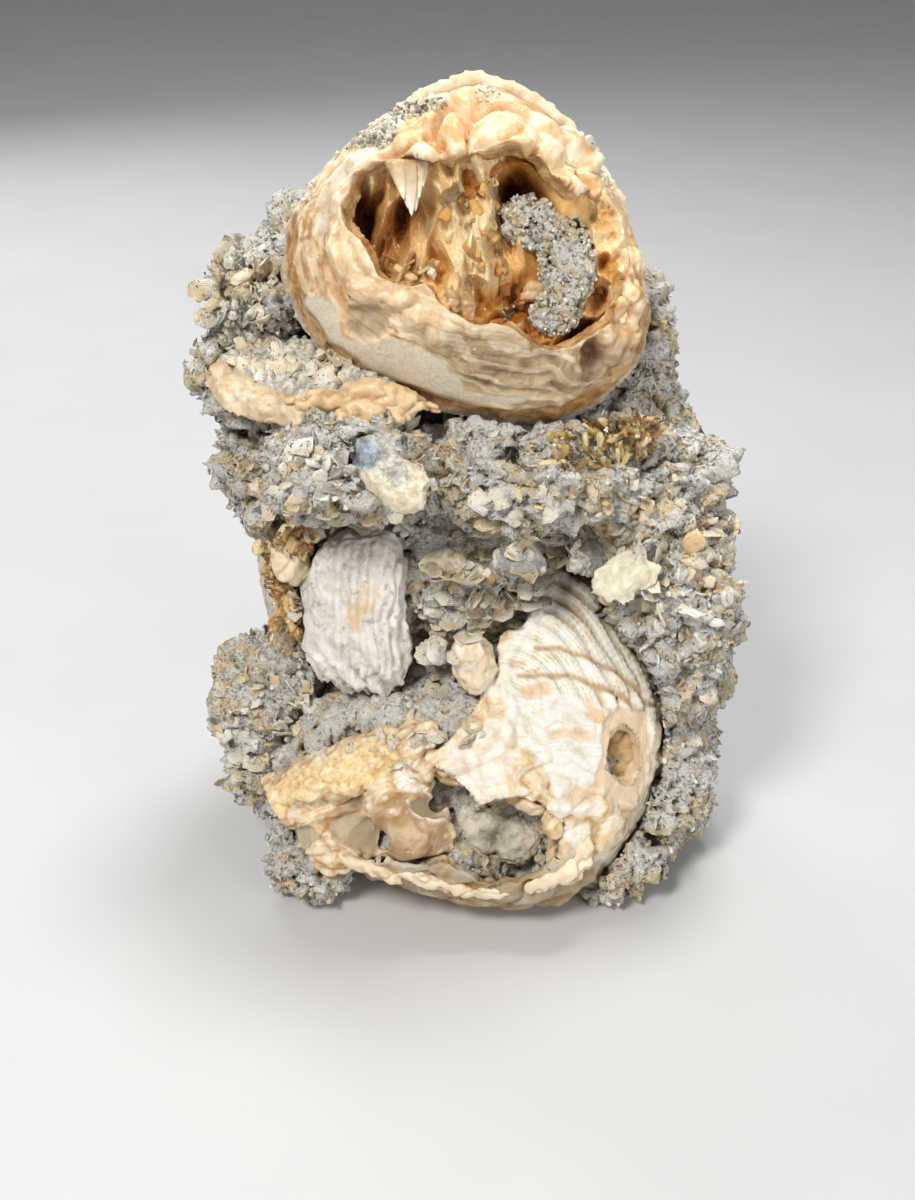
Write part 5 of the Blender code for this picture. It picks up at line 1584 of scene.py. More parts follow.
def sandy(name, source, slot, voxel, grain_count, grain_size, seed, keep=None, size=2.2, depth=0.6, more=None):
    """Grey sediment with grains on it."""
    obj = remeshed(name, source, voxel, smooth=2)
    points, normals = surface_of(obj)
    lump, deep, own = crags(warped(points, 3, 0.9, seed), size, seed, depth, depth)
    waves, crease = billow(points, 5.0, seed + 3)
    out = lump + 0.3 * fractal(points, 1.4, 2, seed + 1) + 1.2 * depth * (waves - 0.5)
    set_points(obj, points + normals * (out + (more(points) if more else 0.0))[:, None])
    # Painted shade: the open share darkens the sediment's colour in its crevices and creases.
    store(obj, "open", np.clip(0.80 - 0.45 * deep - 0.35 * crease, 0, 1))
    store(obj, "tone", own)
    dress(obj, slot, rock_look(), source)
    rng = np.random.default_rng(seed)
    points, normals = surface_of(obj)
    fit = np.arange(len(points)) if keep is None else np.flatnonzero(keep(points, normals))
    picks = rng.choice(fit, min(grain_count, len(fit)), replace=False)
    sizes = grain_size * rng.uniform(0.5, 1.5, len(picks))
    grit = grains(name + "_grains", points[picks] + normals[picks] * 0.2 * grain_size, sizes, rng)
    dress(grit, slot, grit_look(name + " grains", GRIT_STOPS, 0.3), smooth=False)


# The lower clam

# Lines and outlines of the lower clam's surfaces, as seen
CREST = ((568, 562), (546, 595), (530, 622), (512, 645), (503, 663), (507, 690), (512, 712), (504, 738))
DEEP_LINES = (
    ((535, 648), (560, 648), (585, 655), (607, 666), (632, 686), (650, 706)),
    ((520, 676), (545, 674), (570, 676), (596, 684), (622, 696), (640, 712)),
)
PEACH_WINDOWS = (
    ((520, 687), (548, 683), (551, 692), (538, 697), (521, 699)),
    ((583, 696), (591, 700), (604, 715), (606, 726), (594, 722), (586, 708)),
    ((547, 730), (565, 727), (591, 730), (595, 738), (570, 739), (551, 740)),
    ((572, 792), (600, 782), (604, 801), (585, 803), (566, 803)),
)
CHALKY_PART = (
    (512, 684), (560, 690), (598, 704), (604, 745), (600, 800), (592, 815), (560, 812), (545, 765), (520, 745),
    (508, 715),
)
FINE_LAYERS = ((548, 750), (592, 748), (600, 790), (575, 790), (552, 780))
OLIVE_MARGIN = ((598, 604), (625, 638), (648, 668), (660, 700), (664, 745), (656, 785), (638, 815), (618, 848))
BROKEN_PART = (
    (606, 722), (620, 707), (640, 712), (651, 735), (653, 766), (643, 794), (624, 806), (607, 797), (600, 776),
    (608, 750)
)


RIBBED = (
    (574, 556), (602, 596), (642, 645), (668, 695), (672, 760), (655, 800), (640, 790), (648, 745), (636, 716),
    (600, 706), (560, 690), (515, 686), (500, 664), (513, 642), (530, 618), (548, 590),
)


def lower_look():
    """The lower clam's material, laid on in the order of the masks."""
    look = Look("lower clam", 0.6, 0.10, (1.8, 1.1, 0.7), Specular_IOR_Level=0.45)
    swirl = look.noise(3.0, 4, 0.6, 0.6, 1)
    lines = look.calc("SINE", look.calc("MULTIPLY_ADD", look.attr("growth"), 420.0, look.times(swirl, 3.0)))
    tone = look.calc("MULTIPLY_ADD", lines, 0.08, swirl)
    ridge = look.ramp(tone, (0.30, (0.66, 0.54, 0.36)), (0.42, (0.84, 0.77, 0.62)), (0.55, (0.90, 0.87, 0.80)))
    # Painted shade over the shell's ochre: the grooves between the ridges and the deep lines turn brown.
    colour = look.mix(look.times(look.step(look.attr("groove"), 0.3, 0.95), 0.85), ridge, (0.54, 0.39, 0.20))
    colour = look.over(colour, "deep", 0.75, (0.46, 0.28, 0.11))
    lumpy = look.ramp(
        look.noise(3.5, 5, 0.65, 0.8, 3), (0.33, (0.58, 0.38, 0.18)), (0.44, (0.76, 0.57, 0.34)),
        (0.55, (0.85, 0.73, 0.53)), (0.68, (0.90, 0.86, 0.76)),
    )
    # Painted shade: darker in the creases of the lumpy strip and the rough sides.
    lumpy = look.over(lumpy, "crack_shade", 0.7, (0.56, 0.38, 0.20), "MULTIPLY")
    colour = look.mix(look.attr("strip"), colour, lumpy)
    chalk = look.ramp(
        look.noise(5, 4, 0.6, 0.8, 2), (0.34, (0.70, 0.57, 0.40)), (0.45, (0.82, 0.76, 0.65)),
        (0.54, (0.89, 0.86, 0.80))
    )
    chalk = look.mix(look.times(look.step(look.attr("layer"), 0.25, 0.02), 0.4), chalk, (0.66, 0.50, 0.32))
    colour = look.mix(look.attr("chalky"), colour, chalk)
    window = look.ramp(look.noise(2, 3, seed=6), (0.35, (0.70, 0.45, 0.22)), (0.65, (0.82, 0.60, 0.36)))
    colour = look.over(colour, "peach", 0.9, window)
    colour = look.over(colour, "broken", 0.8, (0.76, 0.56, 0.35))
    olive = look.ramp(
        look.calc("MULTIPLY_ADD", lines, 0.2, swirl), (0.36, (0.30, 0.26, 0.17)), (0.6, (0.56, 0.51, 0.38))
    )
    colour = look.over(colour, "margin", 0.7, olive)
    colour = look.over(colour, "crest", 0.65, (0.90, 0.86, 0.78))
    # Painted shade: the bottom of the valve is darkened.
    colour = look.over(colour, "foot", 0.85, (0.42, 0.37, 0.28), "MULTIPLY")
    look.bump(lines, 0.05, 0.4)
    look.bump(look.calc("SINE", look.times(look.attr("angle"), 260.0)), 0.04, 0.3)
    look.bump(look.noise(1.2, 5, 0.7, 0.3, 4), 0.35, 0.7)
    return look.done(colour)


def lower_front():
    """The lower clam's front valve: ridges above, chalk in the middle and a lumpy strip below."""
    obj = remeshed("lower_clam_front", "lower_clam_front_valve", CLAM_VOXEL, smooth=3)
    points = points_of(obj)
    face, local, growth, angle = LOWER.read(points)
    uv = seen(points)
    ribbed = area(uv, RIBBED, 4, 3.0, local, 80)
    chalky = area(uv, CHALKY_PART, 4, 4.0, local, 81) * (1 - ribbed)
    margin = stroke(uv, OLIVE_MARGIN, 13) * smoothstep(0.8, 0.9, growth)
    ribbed = np.maximum(ribbed, smoothstep(0.9, 0.95, growth) * smoothstep(600, 630, uv[:, 0]))
    broken = area(uv, BROKEN_PART, 4, 7.0, local, 83) * (1 - margin)
    ribbed *= 1 - broken
    crest = stroke(uv, CREST, 13)
    peach = np.zeros(len(points))
    for line in PEACH_WINDOWS:
        peach = np.maximum(peach, 0.8 * area(uv, line, 3.5, 5.0, local, 84))
    strip = np.clip(1 - ribbed - chalky - broken, 0, 1)

    terrace = sawtooth(growth * 16 + 0.45 * fractal(local, 12, 2, 85), 0.5, 0.3)
    fine = np.sin((growth * 95 + 0.6 * fractal(local, 8, 2, 86)) * math.tau)
    teeth = np.sin(angle * 150 + 2 * fractal(local, 5, 2, 87))
    patchy = 0.45 + 0.55 * smoothstep(-0.4, 0.3, fractal(local, 8, 2, 79))
    bent = wobbled(uv, local, 3.5, 5, 2, 71, 72)
    deep = np.maximum(stroke(bent, DEEP_LINES[0], 5, 0.8), stroke(bent, DEEP_LINES[1], 6, 0.8))
    deep = deep * (0.5 + 0.5 * patchy)
    relief = ribbed * (1.5 * (terrace - 0.55) * patchy + 0.14 * fine + 0.10 * teeth) - 0.7 * deep * ribbed
    layers = sawtooth((uv[:, 1] + 30 * fractal(local, 11, 3, 88)) / 13.0, 0.8, 0.12)
    relief += chalky * (0.45 * layers - 0.3 + 0.45 * fractal(local, 5, 3, 89)) - 0.4 * peach
    relief += 0.12 * area(uv, FINE_LAYERS, 4) * np.sin(uv[:, 1] * math.tau / 4.6 + 3 * fractal(local, 10, 2, 90))
    waves, crease = billow(local * (0.8, 1.0, 1.0), 6.0, 91)
    sheets = sawtooth(waves * 3 + growth * 5, 0.8, 0.15)
    relief += strip * (1.7 * waves + 0.3 * sheets - 0.8) + broken * (0.6 * waves - 1.0)
    relief += crest * (0.9 + 0.4 * fractal(local, 3, 2, 92)) + 0.25 * fractal(local, 2.4, 3, 93) * (1 - 0.6 * ribbed)

    rounded = LOWER.rounded(local, growth, face)
    set_points(obj, rounded)
    normals = normals_of(obj)
    rough_waves, rough_crease = billow(points, 4.0, 94)
    rough = (1.2 * rough_waves - 0.5 + 0.3 * fractal(local, 1.6, 2, 95)) * (1 - face)
    set_points(obj, kept_in(rounded + normals * (face * relief + rough)[:, None], 1.0))
    chalk_bits = strip * smoothstep(0.0, 0.25, fractal(local, 6, 3, 96) + 0.25 * blob(uv, (470, 765), (50, 40)))
    for name, values in (
        ("growth", growth), ("angle", angle), ("chalky", np.clip(chalky + 0.8 * chalk_bits, 0, 1)),
        ("strip", np.clip(strip + (1 - face), 0, 1)), ("broken", broken), ("margin", margin), ("crest", crest),
        # Painted shade: where the strip and the rough sides crease.
        ("peach", peach), ("crack_shade", np.clip(strip * crease + (1 - face) * rough_crease, 0, 1)), ("layer", layers),
        # Painted shade over ochre: brown in the grooves and the deep lines.
        ("groove", face * ribbed * np.maximum((1 - terrace) * patchy, deep)), ("deep", deep * ribbed),
        # Painted shade: the colour darkens towards the bottom of the valve.
        ("foot", smoothstep(835, 880, uv[:, 1])),
    ):
        store(obj, name, values)

    return dress(obj, "chalky_shell", lower_look(), "lower_clam_front_valve")


# Outlines of the calcite's surfaces, as seen
ORANGE_CRUST = (
    (264, 802), (272, 784), (300, 768), (340, 752), (392, 738), (398, 760), (385, 777), (360, 787), (330, 792),
    (300, 802), (284, 818)
)
CHALK_PATCH = ((392, 764), (420, 760), (412, 775), (420, 792), (400, 790))
UPPER_CHALK = ((430, 735), (500, 732), (500, 795), (470, 782), (452, 768), (425, 750))
# Mounds and hollows of the calcite, as seen: centre, half-sizes, turn, height in mm
CALCITE_FORMS = (
    ((408, 828), (36, 38), 12, 2.6), ((380, 800), (20, 18), 0, 1.4), ((446, 858), (17, 13), 20, 1.6),
    ((425, 774), (7, 17), 0, 2.0), ((450, 786), (20, 20), -20, 1.2), ((335, 806), (26, 11), 16, 1.5),
    ((312, 818), (20, 12), 38, 1.4), ((290, 826), (20, 9), -50, 1.0), ((346, 790), (24, 10), 12, 1.4),
    ((366, 786), (16, 12), 0, 1.2), ((325, 842), (22, 8), 30, 1.0), ((345, 860), (24, 8), 26, 0.9),
    ((510, 780), (26, 16), 0, 1.2), ((545, 785), (12, 18), 0, 1.4), ((560, 830), (20, 22), 0, 1.0),
)
CALCITE_HOLLOWS = (
    ((426, 808), (19, 11), -12, -2.2), ((362, 833), (34, 17), -14, -1.9), ((305, 835), (12, 10), 0, -0.8)
)


def peach_look():
    """The material of the calcite at the lower clam's left."""
    look = Look("peach calcite", 0.35, 0.22, (2.6, 1.5, 0.8), Specular_IOR_Level=0.55)
    mottle = look.noise(3.5, 5, 0.65, 0.8, 1)
    colour = look.ramp(
        mottle, (0.32, (0.60, 0.40, 0.20)), (0.43, (0.76, 0.57, 0.34)), (0.54, (0.84, 0.71, 0.50)),
        (0.67, (0.88, 0.81, 0.66))
    )
    crust = look.ramp(
        look.noise(1.5, 4, 0.7, 0.4, 2), (0.34, (0.72, 0.45, 0.18)), (0.48, (0.84, 0.62, 0.32)),
        (0.64, (0.90, 0.78, 0.54))
    )
    colour = look.mix(look.attr("crusty"), colour, crust)
    tan = look.ramp(
        look.noise(5, 3, 0.5, 0.8, 3), (0.36, (0.34, 0.19, 0.08)), (0.5, (0.48, 0.31, 0.16)),
        (0.64, (0.64, 0.47, 0.29))
    )
    colour = look.mix(look.attr("bulb"), colour, tan)
    colour = look.over(colour, "hollow", 0.75, (0.46, 0.40, 0.28))
    colour = look.over(colour, "rim", 0.9, (0.90, 0.82, 0.66))
    colour = look.mix(
        look.times(look.attr("chalk"), look.step(look.noise(2, 4, 0.7, seed=5), 0.36, 0.5)), colour,
        (0.90, 0.87, 0.82)
    )
    # Painted shade: darker in creases.
    colour = look.over(colour, "recess_shade", 0.8, (0.54, 0.36, 0.19), "MULTIPLY")
    look.bump(look.noise(1.6, 5, 0.65, 0.4, 4), 0.3, 0.7)
    rough = look.mix(look.attr("bulb"), look.level(look.noise(1.4, 3, seed=7), 0.35, 0.8), (0.22, 0.22, 0.22))
    return look.done(colour, rough)


def lower_calcite():
    """The peach calcite left of the lower clam, with its bulb, hollows and crusts."""
    obj = remeshed("lower_clam_calcite_lumps", "lower_clam_calcite", 0.52, smooth=3)
    points, normals = surface_of(obj)
    uv = seen(points)
    wavy = wobbled(uv, points, 4.0, 4, 2, 96, 97)
    form = np.zeros(len(points))
    for centre, radii, turn, high in CALCITE_FORMS:
        form = np.maximum(form, high * mound(wavy, centre, radii, turn))
    hollow = np.zeros(len(points))
    for centre, radii, turn, high in CALCITE_HOLLOWS:
        part = mound(wavy, centre, radii, turn)
        form = form * (1 - smoothstep(0, 0.5, part)) + high * part
        hollow = np.maximum(hollow, smoothstep(0.1, 0.7, part))
    crusty = area(uv, ORANGE_CRUST, 4, 5.0, points, 98)
    chalk = np.maximum(area(uv, CHALK_PATCH, 3, 3.0, points, 99), area(uv, UPPER_CHALK, 4, 6.0, points, 100))
    bulb = smoothstep(0, 0.5, mound(wavy, (408, 826), (36, 38), 12))
    smooth_part = np.clip(bulb + hollow, 0, 1)
    waves, crease = billow(points, 5.0, 101)
    small, small_crease = billow(points, 2.4, 104)
    out = form + (1 - 0.9 * smooth_part) * (1 - 0.6 * crusty) * (1.1 * (waves - 0.45) + 0.35 * (small - 0.4))
    out += crusty * (0.9 * fractal(points, 3.2, 3, 105) + 0.45 * fractal(points, 1.2, 2, 102))
    layers = sawtooth((uv[:, 1] + 0.35 * uv[:, 0] + 14 * fractal(points, 8, 2, 103)) / 9.0, 0.75, 0.2)
    folds = (1 - crusty) * (1 - smooth_part)
    out += 0.35 * folds * (layers - 0.5)
    rim = stroke(uv, ((409, 802), (412, 813), (424, 821), (440, 823), (447, 811), (440, 800)), 4, 0.8)
    out += 0.8 * rim
    set_points(obj, kept_in(points + normals * out[:, None], 1.0))
    # Painted shade: darker in the creases and layer steps of the folds, and in the crust's small creases.
    creased = folds * (0.8 * crease + 0.4 * small_crease + 0.25 * (1 - layers))
    for name, values in (
        ("crusty", crusty), ("chalk", chalk), ("bulb", bulb * (1 - hollow)), ("hollow", hollow), ("rim", rim),
        ("recess_shade", np.clip(creased + 0.6 * crusty * small_crease, 0, 1)),
    ):
        store(obj, name, values)
    return dress(obj, "peach_calcite", peach_look(), "lower_clam_calcite")


# The lesser shells, as the solids were built: place, azimuth, elevation, roll, outline, apex, bulge
SMALL = {
    "white_valve": ((-24, -19.5, 68), -18, 12, 0, (13, 15, 20, 21, 18, 14.5, 12.5, 14, 20, 23, 21, 15.5), (1, 14), 8),
    "left_thin_valve": ((-42, -2, 64), -75, 0, 0, (13, 15, 19, 21, 19, 15, 13, 15, 19, 21, 19, 15), (0, 12), 5),
    "peach_shell_fragment": ((-30, -15, 117), 0, 68, -12, (24, 22, 14, 12, 13, 20, 25, 22, 15, 13, 15, 21), (0, 2), 6),
    "blue_shell_fragment": ((-16, -37, 109), -10, 40, -38, (12.5, 10, 7, 6, 6.5, 9, 11.5, 9, 6.5, 6, 7, 10), (4, 1), 3),
    "oyster_valve": ((33, -31, 82), 18, 30, 12, (8.5, 7.5, 6, 5, 5.8, 7.5, 8.5, 7.5, 6, 5.4, 6, 8), (0, 2), 2.2),
    "grey_shell_left": ((12, -25, 83), 0, 45, 15, (6.5, 6, 5, 4.6, 5, 6, 6.5, 6, 5, 4.6, 5, 6), (0, 1), 2.4),
    "grey_shell_right": ((25.5, -24, 82), 25, 50, -10, (6, 5.6, 5, 4.8, 5, 5.6, 6, 5.6, 5, 4.8, 5, 5.6), (0, 1), 2.4),
    "rear_large_valve": ((10, 34, 60), 172, 12, 20, (22, 23, 22, 20, 21, 23, 24, 23, 21, 20, 21, 22), (2, 8), 9),
    "rear_small_valve": (
        (-24, 33, 96), 200, 18, -15, (12, 12.5, 12, 11, 11.5, 12, 13, 12.5, 11.5, 11, 11.5, 12), (1, 4), 5
    ),
}


def small_dome(name):
    """The form of one of the lesser shells."""
    place, azimuth, elevation, roll, outline, apex, bulge = SMALL[name]
    return Dome(facing(place, azimuth, elevation, roll), outline, apex, bulge)


def dusty(points, local):
    """Patches of rock crust left on a small shell."""
    crust = smoothstep(0.08, 0.2, fractal(points, 3.0, 3, 213))
    return 0.5 * crust * (0.6 + fractal(points, 1.3, 2, 214)), crust


def squared(obj, dome, half):
    """Draws a shell's outline out into rounded corners, by up to a tenth of its radius."""
    local = dome.local(points_of(obj))
    flat = np.abs(local[:, :2]) / half
    square = (flat ** 2.8).sum(1) ** (1 / 2.8)
    local[:, :2] *= (np.hypot(flat[:, 0], flat[:, 1]) / np.maximum(square, 1e-6))[:, None]
    set_points(obj, dome.world(local))


def white_relief(points, local):
    """Fine ribs down the shell, a granular upper left and a scarred foot."""
    uv = seen(points)
    ribs = smoothstep(322, 350, uv[:, 0]) * smoothstep(538, 560, uv[:, 1])
    wavy = local[:, 0] + 0.4 * fractal(local, 8, 2, 201)
    rib = np.sin(wavy * math.tau / 1.8)
    strong = 0.5 + 0.7 * smoothstep(-0.3, 0.3, fractal(local, 5, 2, 218))
    out = 0.42 * ribs * rib * strong + 0.5 * fractal(local, 7, 2, 219)
    grain = area(
        uv, ((295, 570), (318, 536), (390, 528), (392, 556), (352, 572), (330, 605), (312, 596)), 6, 5.0, local, 202
    )
    out += grain * 0.5 * (cells(local, 1.5, 203)[2] - 0.4)
    scars = smoothstep(628, 655, uv[:, 1])
    slant = np.sin((local[:, 0] * 0.8 + local[:, 1] * 0.5) * math.tau / 4.2 + 1.2 * fractal(local, 6, 2, 204))
    out += scars * (0.45 * np.sign(slant) * np.abs(slant) ** 0.5 + 0.5 * fractal(local, 2.4, 2, 205))
    crust = 0.5 * grain * smoothstep(0.05, 0.4, fractal(local, 1.4, 2, 206))
    crust = np.maximum(crust, smoothstep(655, 700, uv[:, 1]) * smoothstep(-0.1, 0.3, fractal(local, 3, 3, 207)))
    crust = np.maximum(crust, 0.9 * smoothstep(318, 300, uv[:, 0]) * smoothstep(-0.2, 0.2, fractal(local, 2.5, 2, 208)))
    crust = np.maximum(crust, 0.8 * smoothstep(0.26, 0.38, fractal(local, 2.0, 3, 215)))
    # The grooves between the ribs are counted as crust too, so they take the crust's darker greys.
    return out, np.maximum(crust, 0.5 * ribs * strong * smoothstep(-0.3, -0.9, rib))


def peach_relief(points, local):
    """Dark crust over the back of the plate, bare along its front edge."""
    uv = seen(points)
    edge = np.interp(uv[:, 0], (200, 240, 280, 320, 430), (352, 374, 396, 398, 384))
    crust = smoothstep(2, -4, uv[:, 1] - edge + 3 * fractal(points, 3, 2, 209))
    lump, _, _ = crags(points, 2.6, 210, 0.9, 1.2)
    return crust * (0.8 + lump), crust


def blue_relief(points, local):
    """A smooth blue-grey window in the plate, with rock crust at its right."""
    uv = seen(points)
    window = blob(uv, (357, 452), (27, 14), 0.2)
    crust = (1 - window) * area(uv, ((380, 432), (402, 440), (412, 490), (392, 486), (372, 462)), 4, 4.0, points, 211)
    return -0.6 * window + 0.4 * crust * fractal(points, 1.5, 2, 212), crust


def blue_look():
    """The blue-grey plate's material: its window by growth, and its crust."""
    look = Look("blue-grey shell", 0.5, Specular_IOR_Level=0.5)
    mottle = look.noise(1.8, 5, 0.7, 0.5, 1)
    window = look.ramp(mottle, (0.34, (0.12, 0.14, 0.17)), (0.5, (0.25, 0.285, 0.33)), (0.66, (0.52, 0.54, 0.56)))
    frame_colour = look.ramp(mottle, (0.34, (0.46, 0.39, 0.27)), (0.5, (0.66, 0.58, 0.42)), (0.66, (0.82, 0.76, 0.62)))
    tint = look.mix(look.attr("growth"), frame_colour, window)
    tint = look.mix(look.attr("crust"), tint, look.ramp(mottle, (0.4, (0.25, 0.24, 0.21)), (0.6, (0.66, 0.62, 0.54))))
    look.bump(look.noise(0.9, 5, 0.7, seed=3), 0.35, 0.8)
    return look.done(tint)


def make_small_shells():
    """The lesser shells and the three chips."""
    chalky = shell_look("chalky shell")
    slate = shell_look("slate-grey shell")
    peach = shell_look("peach shell")
    buff = shell_look("buff oyster shell")
    tan = shell_look("tan shell")
    cream = shell_look("cream shell")
    # Piece, solid, slot, look, grid, ridges, their height, fine relief, raggedness and a relief of its own
    rows = (
        ("white_shell", "white_valve", "chalky_shell", chalky, 0.5, 16, 0.04, 0.2, 5.0, white_relief),
        ("left_thin_shell", "left_thin_valve", "peach_calcite", peach, 0.6, 12, 0.25, 0.3, 2.0, dusty),
        ("peach_shell", "peach_shell_fragment", "peach_calcite", peach, 0.5, 7, 0.3, 0.5, 3.0, peach_relief),
        ("blue_shell", "blue_shell_fragment", "slate_shell", blue_look(), 0.42, 4, 0.1, 0.14, 3.0, blue_relief),
        ("oyster", "oyster_valve", "buff_shell", buff, 0.4, 3, 0.2, 0.3, 2.6, None),
        ("grey_shell_a", "grey_shell_left", "slate_shell", slate, 0.4, 3, 0.15, 0.18, 3.0, dusty),
        ("grey_shell_b", "grey_shell_right", "slate_shell", slate, 0.4, 3, 0.15, 0.18, 3.0, dusty),
        ("rear_large_shell", "rear_large_valve", "chalky_shell", chalky, 0.75, 14, 0.5, 0.3, 2.0, dusty),
        ("rear_small_shell", "rear_small_valve", "cream_shell", cream, 0.65, 10, 0.35, 0.3, 1.6, dusty),
    )
    for seed, (name, source, slot, look, voxel, ridges, depth, fine, ragged, more) in enumerate(rows):
        dome = small_dome(source)
        obj = ridged(name, source, dome, slot, look, voxel, ridges, depth, 110 + 5 * seed, fine, ragged, more)
        if source == "white_valve":
            squared(obj, dome, (13.5, 21.0))
            places = points_of(obj)
            uv = wobbled(seen(places), places, 26.0, 3.4, 4, 61, 62)
            paler_stain = 0.6 * blob(uv, (371, 590), (8, 10), 0.6)
            store(obj, "stain", np.maximum(blob(uv, (358, 611), (11, 10), 0.6), paler_stain))
        if source == "blue_shell_fragment":
            uv = seen(points_of(obj))
            obj.data.attributes.remove(obj.data.attributes["growth"])
            store(obj, "growth", blob(uv, (359, 453), (33, 17), 0.3))
    # Piece, solid, slot, look and the height of its folds
    chips = (
        ("little_clam", "small_clam", "cream_shell", cream, 0.5), ("tan_piece", "tan_fragment", "tan_shell", tan, 0.5),
        ("white_piece", "white_chip", "chalky_shell", chalky, 0.5),
    )
    for seed, (name, source, slot, look, depth) in enumerate(chips):
        obj = remeshed(name, source, 0.4, smooth=2)
        points, normals = surface_of(obj)
        waves, crease = billow(points, 7.0, 140 + seed)
        rough = 1.3 * fractal(points, 5.5, 3, 150 + seed) + 0.3 * fractal(points, 1.6, 2, 170 + seed)
        set_points(obj, points + normals * (depth * (1.4 * waves - 0.6) + rough)[:, None])
        store(obj, "growth", points[:, 2] / 40)
        store(obj, "crust", 0.8 * smoothstep(0.18, 0.3, fractal(points, 2.5, 3, 160 + seed)) if seed else 0 * crease)
        # Painted shade: darker in the creases.
        store(obj, "recess_shade", 0.3 * crease)
        dress(obj, slot, look, source)


def front_lumps():
    """Waxy lumps too small or too rounded for the solids, each set where it's seen."""
    peach = calcite_look("waxy orange calcite")
    cream = calcite_look("waxy cream calcite")
    silty = calcite_look("silty calcite")
    window = calcite_look("orange calcite window")
    # Piece, slot, look, grid, the height of its folds, and the rows of its lumps
    sets = (
        ("peach_plate_lumps", "peach_calcite", peach, 0.42, 1.2, (
            ((335, 400), (6.5, 2.2, 3.0), -6, 0.4), ((368, 396), (7.5, 3.0, 3.4), 4, 1.0),
            ((398, 400), (6.0, 2.4, 2.6), -16, 0.6),
            ((424, 404), (4.0, 1.3, 2.0), -25, 0.4), ((305, 404), (4.6, 1.3, 2.0), -8, 0.2),
            ((388, 417), (4.4, 1.7, 2.0), -2, 0.4),
            ((362, 412), (5.0, 2.0, 2.4), 4, 0.3),
        )),
        ("side_pods", "honey_calcite", cream, 0.4, 0.5, (
            ((286, 552), (3.4, 6.6, 1.8), -10, 1.2), ((298, 562), (3.0, 5.6, 1.8), -14, 1.2),
            ((302, 577), (3.8, 1.8, 1.8), 8, 1.2),
        )),
        ("window_calcite", "peach_calcite", window, 0.42, 0.3, (
            ((627, 757), (6.4, 9.6, 1.7), 4, 0.0), ((622, 738), (3.4, 2.6, 1.4), 10, 0.4),
        )),
        ("rim_lumps", "cream_shell", cream, 0.42, 1.0, (
            ((545, 882), (4.6, 2.0, 2.2), 24, 0.8), ((568, 870), (3.4, 3.4, 2.2), 40, 0.8),
            ((584, 852), (2.2, 4.4, 1.8), 10, 0.5),
            ((430, 881), (9.0, 1.2, 1.6), -14, 0.6), ((370, 868), (8.0, 1.6, 2.0), -24, 0.8),
            ((480, 893), (8.0, 1.2, 1.6), -3, 0.6),
        )),
        ("sediment_crystal", "sediment", silty, 0.4, 0.2, (
            ((517, 840), (5.4, 5.8, 3.0), -15, 0.2), ((478, 832), (7.5, 5.4, 2.2), 12, -0.5),
        )),
    )
    for seed, (name, slot, look, voxel, depth, rows) in enumerate(sets):
        obj = lumps(name, rows, voxel)
        points, normals = surface_of(obj)
        waves, crease = billow(points, 3.6, 221 + seed)
        rough = 0.9 * fractal(points, 4.0, 3, 231 + seed) + 0.25 * fractal(points, 1.4, 2, 251 + seed)
        if slot == "sediment":  # silt has no folds of its own, only rough noise
            rough = 1.6 * fractal(points, 3.2, 4, 231 + seed, 0.62) - 0.2
        set_points(obj, kept_in(points + normals * (depth * (waves - 0.5) + rough)[:, None], 1.2))
        store(obj, "tone", np.clip(0.45 + 0.35 * fractal(points, 5, 2, 241 + seed), 0, 1))
        # Painted shade: darker in the creases, only faintly on the silt.
        store(obj, "recess_shade", (0.1 if slot == "sediment" else 0.6) * crease)
        dress(obj, slot, look)


def crusts():
    """The two honey-coloured crystal crusts, and the yellow blades in the pocket under the upper clam."""
    rng = np.random.default_rng(31)
    look = calcite_look("honey crust")
    glass = glass_look("clear yellow calcite", (0.96, 0.78, 0.44), 60, 44)
    for name, source, seed, aim, count in (
        ("side_crust", "left_crystals", 161, (-0.2, -0.9, 0.3), 90),
        ("pocket_crust", "pocket_crystals", 171, (0.1, -0.7, 0.7), 110),
    ):
        obj = remeshed(name, source, 0.5, smooth=1)
        points, normals = surface_of(obj)
        lump, deep, own = crags(points * (1.2, 1.0, 0.7), 2.8, seed, 0.6, 1.6)
        set_points(obj, points + normals * lump[:, None])
        # Painted shade: darker in the crevices.
        store(obj, "recess_shade", 0.6 * deep)
        store(obj, "tone", own)
        dress(obj, "honey_calcite", look, source, smooth=False)
        forward = np.flatnonzero(normals[:, 1] < 0.1)
        picks = rng.choice(forward, count, replace=False)
        directions = 0.7 * normals[picks] + np.array(aim) + rng.normal(scale=0.35, size=(count, 3))
        lengths = rng.uniform(1.2, 3.0, count)
        blades = crystals(
            name + "_blades", points[picks], directions, lengths, lengths * rng.uniform(0.25, 0.4, count), rng
        )
        dress(blades, "honey_calcite", glass, smooth=False)
    olive = calcite_look("olive-yellow calcite")
    px = np.column_stack([rng.uniform(556, 638, 120), rng.uniform(422, 468, 120)])
    places = np.array([spot(u, v, 0.3) for u, v in px])
    ways = np.array((-0.5, -0.30, 0.62)) + rng.normal(scale=0.5, size=places.shape)
    lengths = rng.uniform(1.8, 4.2, 120)
    for name, part, paint in (("pocket_blades", slice(0, 70), olive), ("pocket_glass", slice(70, 120), glass)):
        radii = lengths[part] * rng.uniform(0.16, 0.28, len(lengths[part]))
        dress(crystals(name, places[part], ways[part], lengths[part], radii, rng), "honey_calcite", paint, smooth=False)


